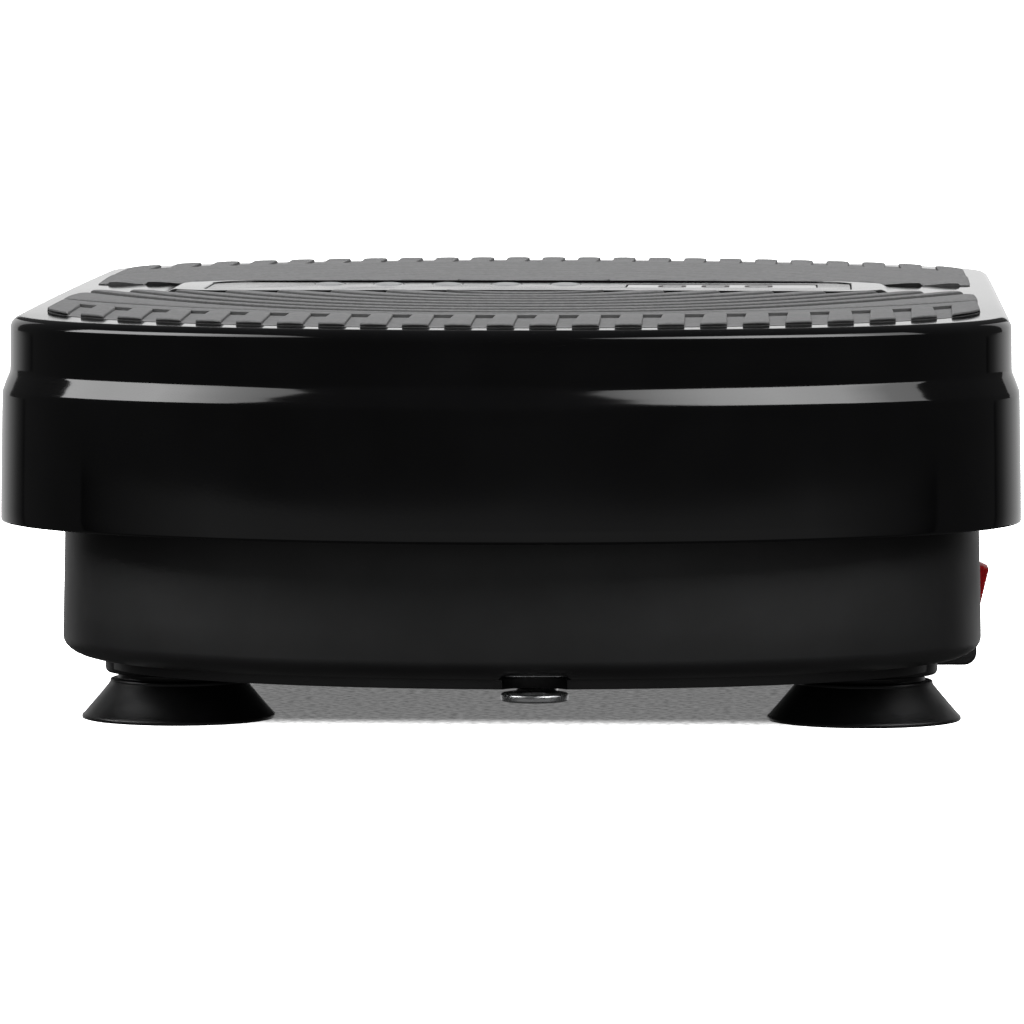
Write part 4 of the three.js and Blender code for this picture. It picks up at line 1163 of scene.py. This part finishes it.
def sheet_object(name, corners, material):
    mesh = bpy.data.meshes.new(name)
    mesh.from_pydata(corners, [], [tuple(range(len(corners)))])
    mesh.materials.append(material)
    made = bpy.data.objects.new(name, mesh)
    bpy.context.scene.collection.objects.link(made)
    return made


# The floor's glow is painted dimmer over this patch, as a painted shadow under the plate.
PAINTED_SHADOW_HALF = (0.075, 0.15, 0.0)   # half the dim patch of floor under the plate, in metres


def floor_material_with_painted_shadow():
    """Pale matt floor that grows brighter away from the object, with a painted shadow: its glow is
    dimmed over a patch under the plate.
    """
    material = bpy.data.materials.new("studio_floor")
    material.use_nodes = True
    tree = material.node_tree
    shader = tree.nodes["Principled BSDF"]
    shader.inputs["Roughness"].default_value = 0.9
    shader.inputs["Specular IOR Level"].default_value = 0.1
    geometry = tree.nodes.new("ShaderNodeNewGeometry")
    grain = tree.nodes.new("ShaderNodeTexNoise")
    grain.inputs["Scale"].default_value = 420.0
    grain.inputs["Detail"].default_value = 3.0
    shade = tree.nodes.new("ShaderNodeValToRGB")
    for element, place, value in zip(shade.color_ramp.elements, (0.3, 0.7), (0.45, 1.0)):
        element.position = place
        element.color = (value, value, value, 1.0)
    tree.links.new(geometry.outputs["Position"], grain.inputs["Vector"])
    tree.links.new(grain.outputs["Fac"], shade.inputs["Fac"])
    tree.links.new(shade.outputs["Color"], shader.inputs["Base Color"])
    tree.links.new(shade.outputs["Color"], shader.inputs["Emission Color"])

    def vector_step(operation, source, second=None):
        step = tree.nodes.new("ShaderNodeVectorMath")
        step.operation = operation
        tree.links.new(source, step.inputs[0])
        if second:
            step.inputs[1].default_value = second
        return step.outputs

    # Glow strength from the distance outside the patch: low inside it as a painted shadow, bright
    # beyond.
    outside = vector_step("ABSOLUTE", geometry.outputs["Position"])["Vector"]
    beyond = vector_step("SUBTRACT", outside, PAINTED_SHADOW_HALF)["Vector"]
    clipped = vector_step("MAXIMUM", beyond, (0.0, 0.0, 0.0))["Vector"]
    length = vector_step("LENGTH", clipped)["Value"]
    ranged = tree.nodes.new("ShaderNodeMapRange")
    ranged.interpolation_type = "SMOOTHSTEP"
    for name, value in (("From Min", 0.012), ("From Max", 0.06), ("To Min", 0.24), ("To Max", 3.5)):
        ranged.inputs[name].default_value = value
    tree.links.new(length, ranged.inputs["Value"])
    tree.links.new(ranged.outputs["Result"], shader.inputs["Emission Strength"])
    return material


floor = sheet_object(
    "floor", [(-60, -8, 0), (60, -8, 0), (60, 120, 0), (-60, 120, 0)], floor_material_with_painted_shadow(),
)
floor.visible_glossy = False
floor.visible_diffuse = False


def direction(azimuth, elevation, distance):
    """A point seen from the plate: azimuth from straight ahead of its front end, towards +X."""
    a, e = math.radians(azimuth), math.radians(elevation)
    return (
        distance * math.sin(a) * math.cos(e), -distance * math.cos(a) * math.cos(e),
        distance * math.sin(e),
    )


def light_card(name, spans, distance=2.5):
    """A card for reflections: spans are (azimuth, low and high elevation, glow)."""
    low = [direction(a, e0, distance) for a, e0, _, _ in spans]
    high = [direction(a, e1, distance) for a, _, e1, _ in spans]
    count = len(spans)
    mesh = bpy.data.meshes.new(name)
    mesh.from_pydata(
        low + high, [], [(i, i + 1, count + i + 1, count + i) for i in range(count - 1)],
    )
    glow = mesh.attributes.new("glow", "FLOAT", "POINT")
    glow.data.foreach_set("value", [span[3] for span in spans] * 2)
    mesh.materials.append(CARD_GLOW)
    card = bpy.data.objects.new(name, mesh)
    bpy.context.scene.collection.objects.link(card)
    card.visible_camera = False
    card.visible_diffuse = False
    card.visible_shadow = False


light_card("card_back", [(a, 1, 8, 0.88) for a in range(164, 197, 8)], 3.0)
# (degrees from straight behind, glow) of the card low behind the plate.
RIM = ((60, 0.0), (52, 0.12), (44, 0.36), (36, 0.58), (28, 0.7), (16, 0.78))
rim_turns = [(180 - turn, glow) for turn, glow in RIM]
rim_turns += [(180 + turn, glow) for turn, glow in RIM[::-1]]
light_card("card_rim", [(a, -14, 1, glow) for a, glow in rim_turns], 3.0)
light_card("card_corner_right", [(140, 1, 32, 0.6), (150, 1, 24, 0.7), (164, 1, 10, 0.8)], 3.0)
light_card("card_corner_left", [(196, 1, 10, 0.8), (210, 1, 24, 0.7), (220, 1, 32, 0.6)], 3.0)
light_card("card_front", [
    (a, -24, -0.6, glow) for a, glow in (
        (-84, 0.0), (-64, 0.14), (-48, 0.26), (0, 0.26), (48, 0.26), (64, 0.14), (84, 0.0),
    )
])
light_card("card_left", [
    (-97, 17, 35, 6), (-80, 20, 40, 7), (-65, 23, 45, 8.2), (-58, 25, 47, 7), (-50, 27, 48, 4.8),
    (-42, 31, 46, 3.4), (-38, 34, 42, 3), (-34, 37.5, 38, 2.6),
])
light_card("card_right", [
    (12, 39.5, 40, 2.4), (16, 36, 43, 2.8), (22, 33, 46, 4.4), (33, 30, 48, 7.2),
    (45, 28, 48, 8.3), (60, 24, 44, 7), (73, 21, 41, 3.2), (84, 19, 37, 2.6),
])


def area_light(name, place, aim, size, power):
    """A square light that points at a height above the origin."""
    data = bpy.data.lights.new(name, "AREA")
    data.shape = "SQUARE"
    data.size = size
    data.energy = power
    lamp = bpy.data.objects.new(name, data)
    lamp.location = place
    toward = Vector((0, 0, aim)) - Vector(place)
    lamp.rotation_euler = toward.to_track_quat("-Z", "Y").to_euler()
    bpy.context.scene.collection.objects.link(lamp)
    lamp.visible_camera = False
    lamp.visible_glossy = False
    return lamp


area_light("softbox_top", (0, 0.3, 2.4), 0.1, 2.2, 130)
area_light("softbox_back", (0, 2.2, 1.5), 0.1, 1.8, 18)
area_light("softbox_left", (-2.4, -1.0, 1.2), 0.08, 0.9, 20)
area_light("softbox_right", (2.4, -1.0, 1.2), 0.08, 0.9, 20)
area_light("softbox_front", (0, -3.2, 0.9), 0.08, 1.2, 20)

world = bpy.data.worlds.new("studio")
world.use_nodes = True
world.node_tree.nodes["Background"].inputs["Color"].default_value = (1, 1, 1, 1)
world.node_tree.nodes["Background"].inputs["Strength"].default_value = 0.05
bpy.context.scene.world = world
bpy.context.scene.view_settings.view_transform = "Standard"

CAMERA_PLACE = (0.09333, -2.63239, 0.23899)
CAMERA_DOWN = 0.0711        # radians below level
CAMERA_LEFT = 0.0376        # radians left of straight ahead
CAMERA_LENS = 286.506       # millimetres

camera_data = bpy.data.cameras.new("camera")
camera_data.sensor_width = 36
camera_data.lens = CAMERA_LENS
camera_data.clip_end = 200
camera = bpy.data.objects.new("camera", camera_data)
camera.location = CAMERA_PLACE
camera.rotation_euler = (math.pi / 2 - CAMERA_DOWN, 0, CAMERA_LEFT)
bpy.context.scene.collection.objects.link(camera)
bpy.context.scene.camera = camera

bpy.context.view_layer.update()
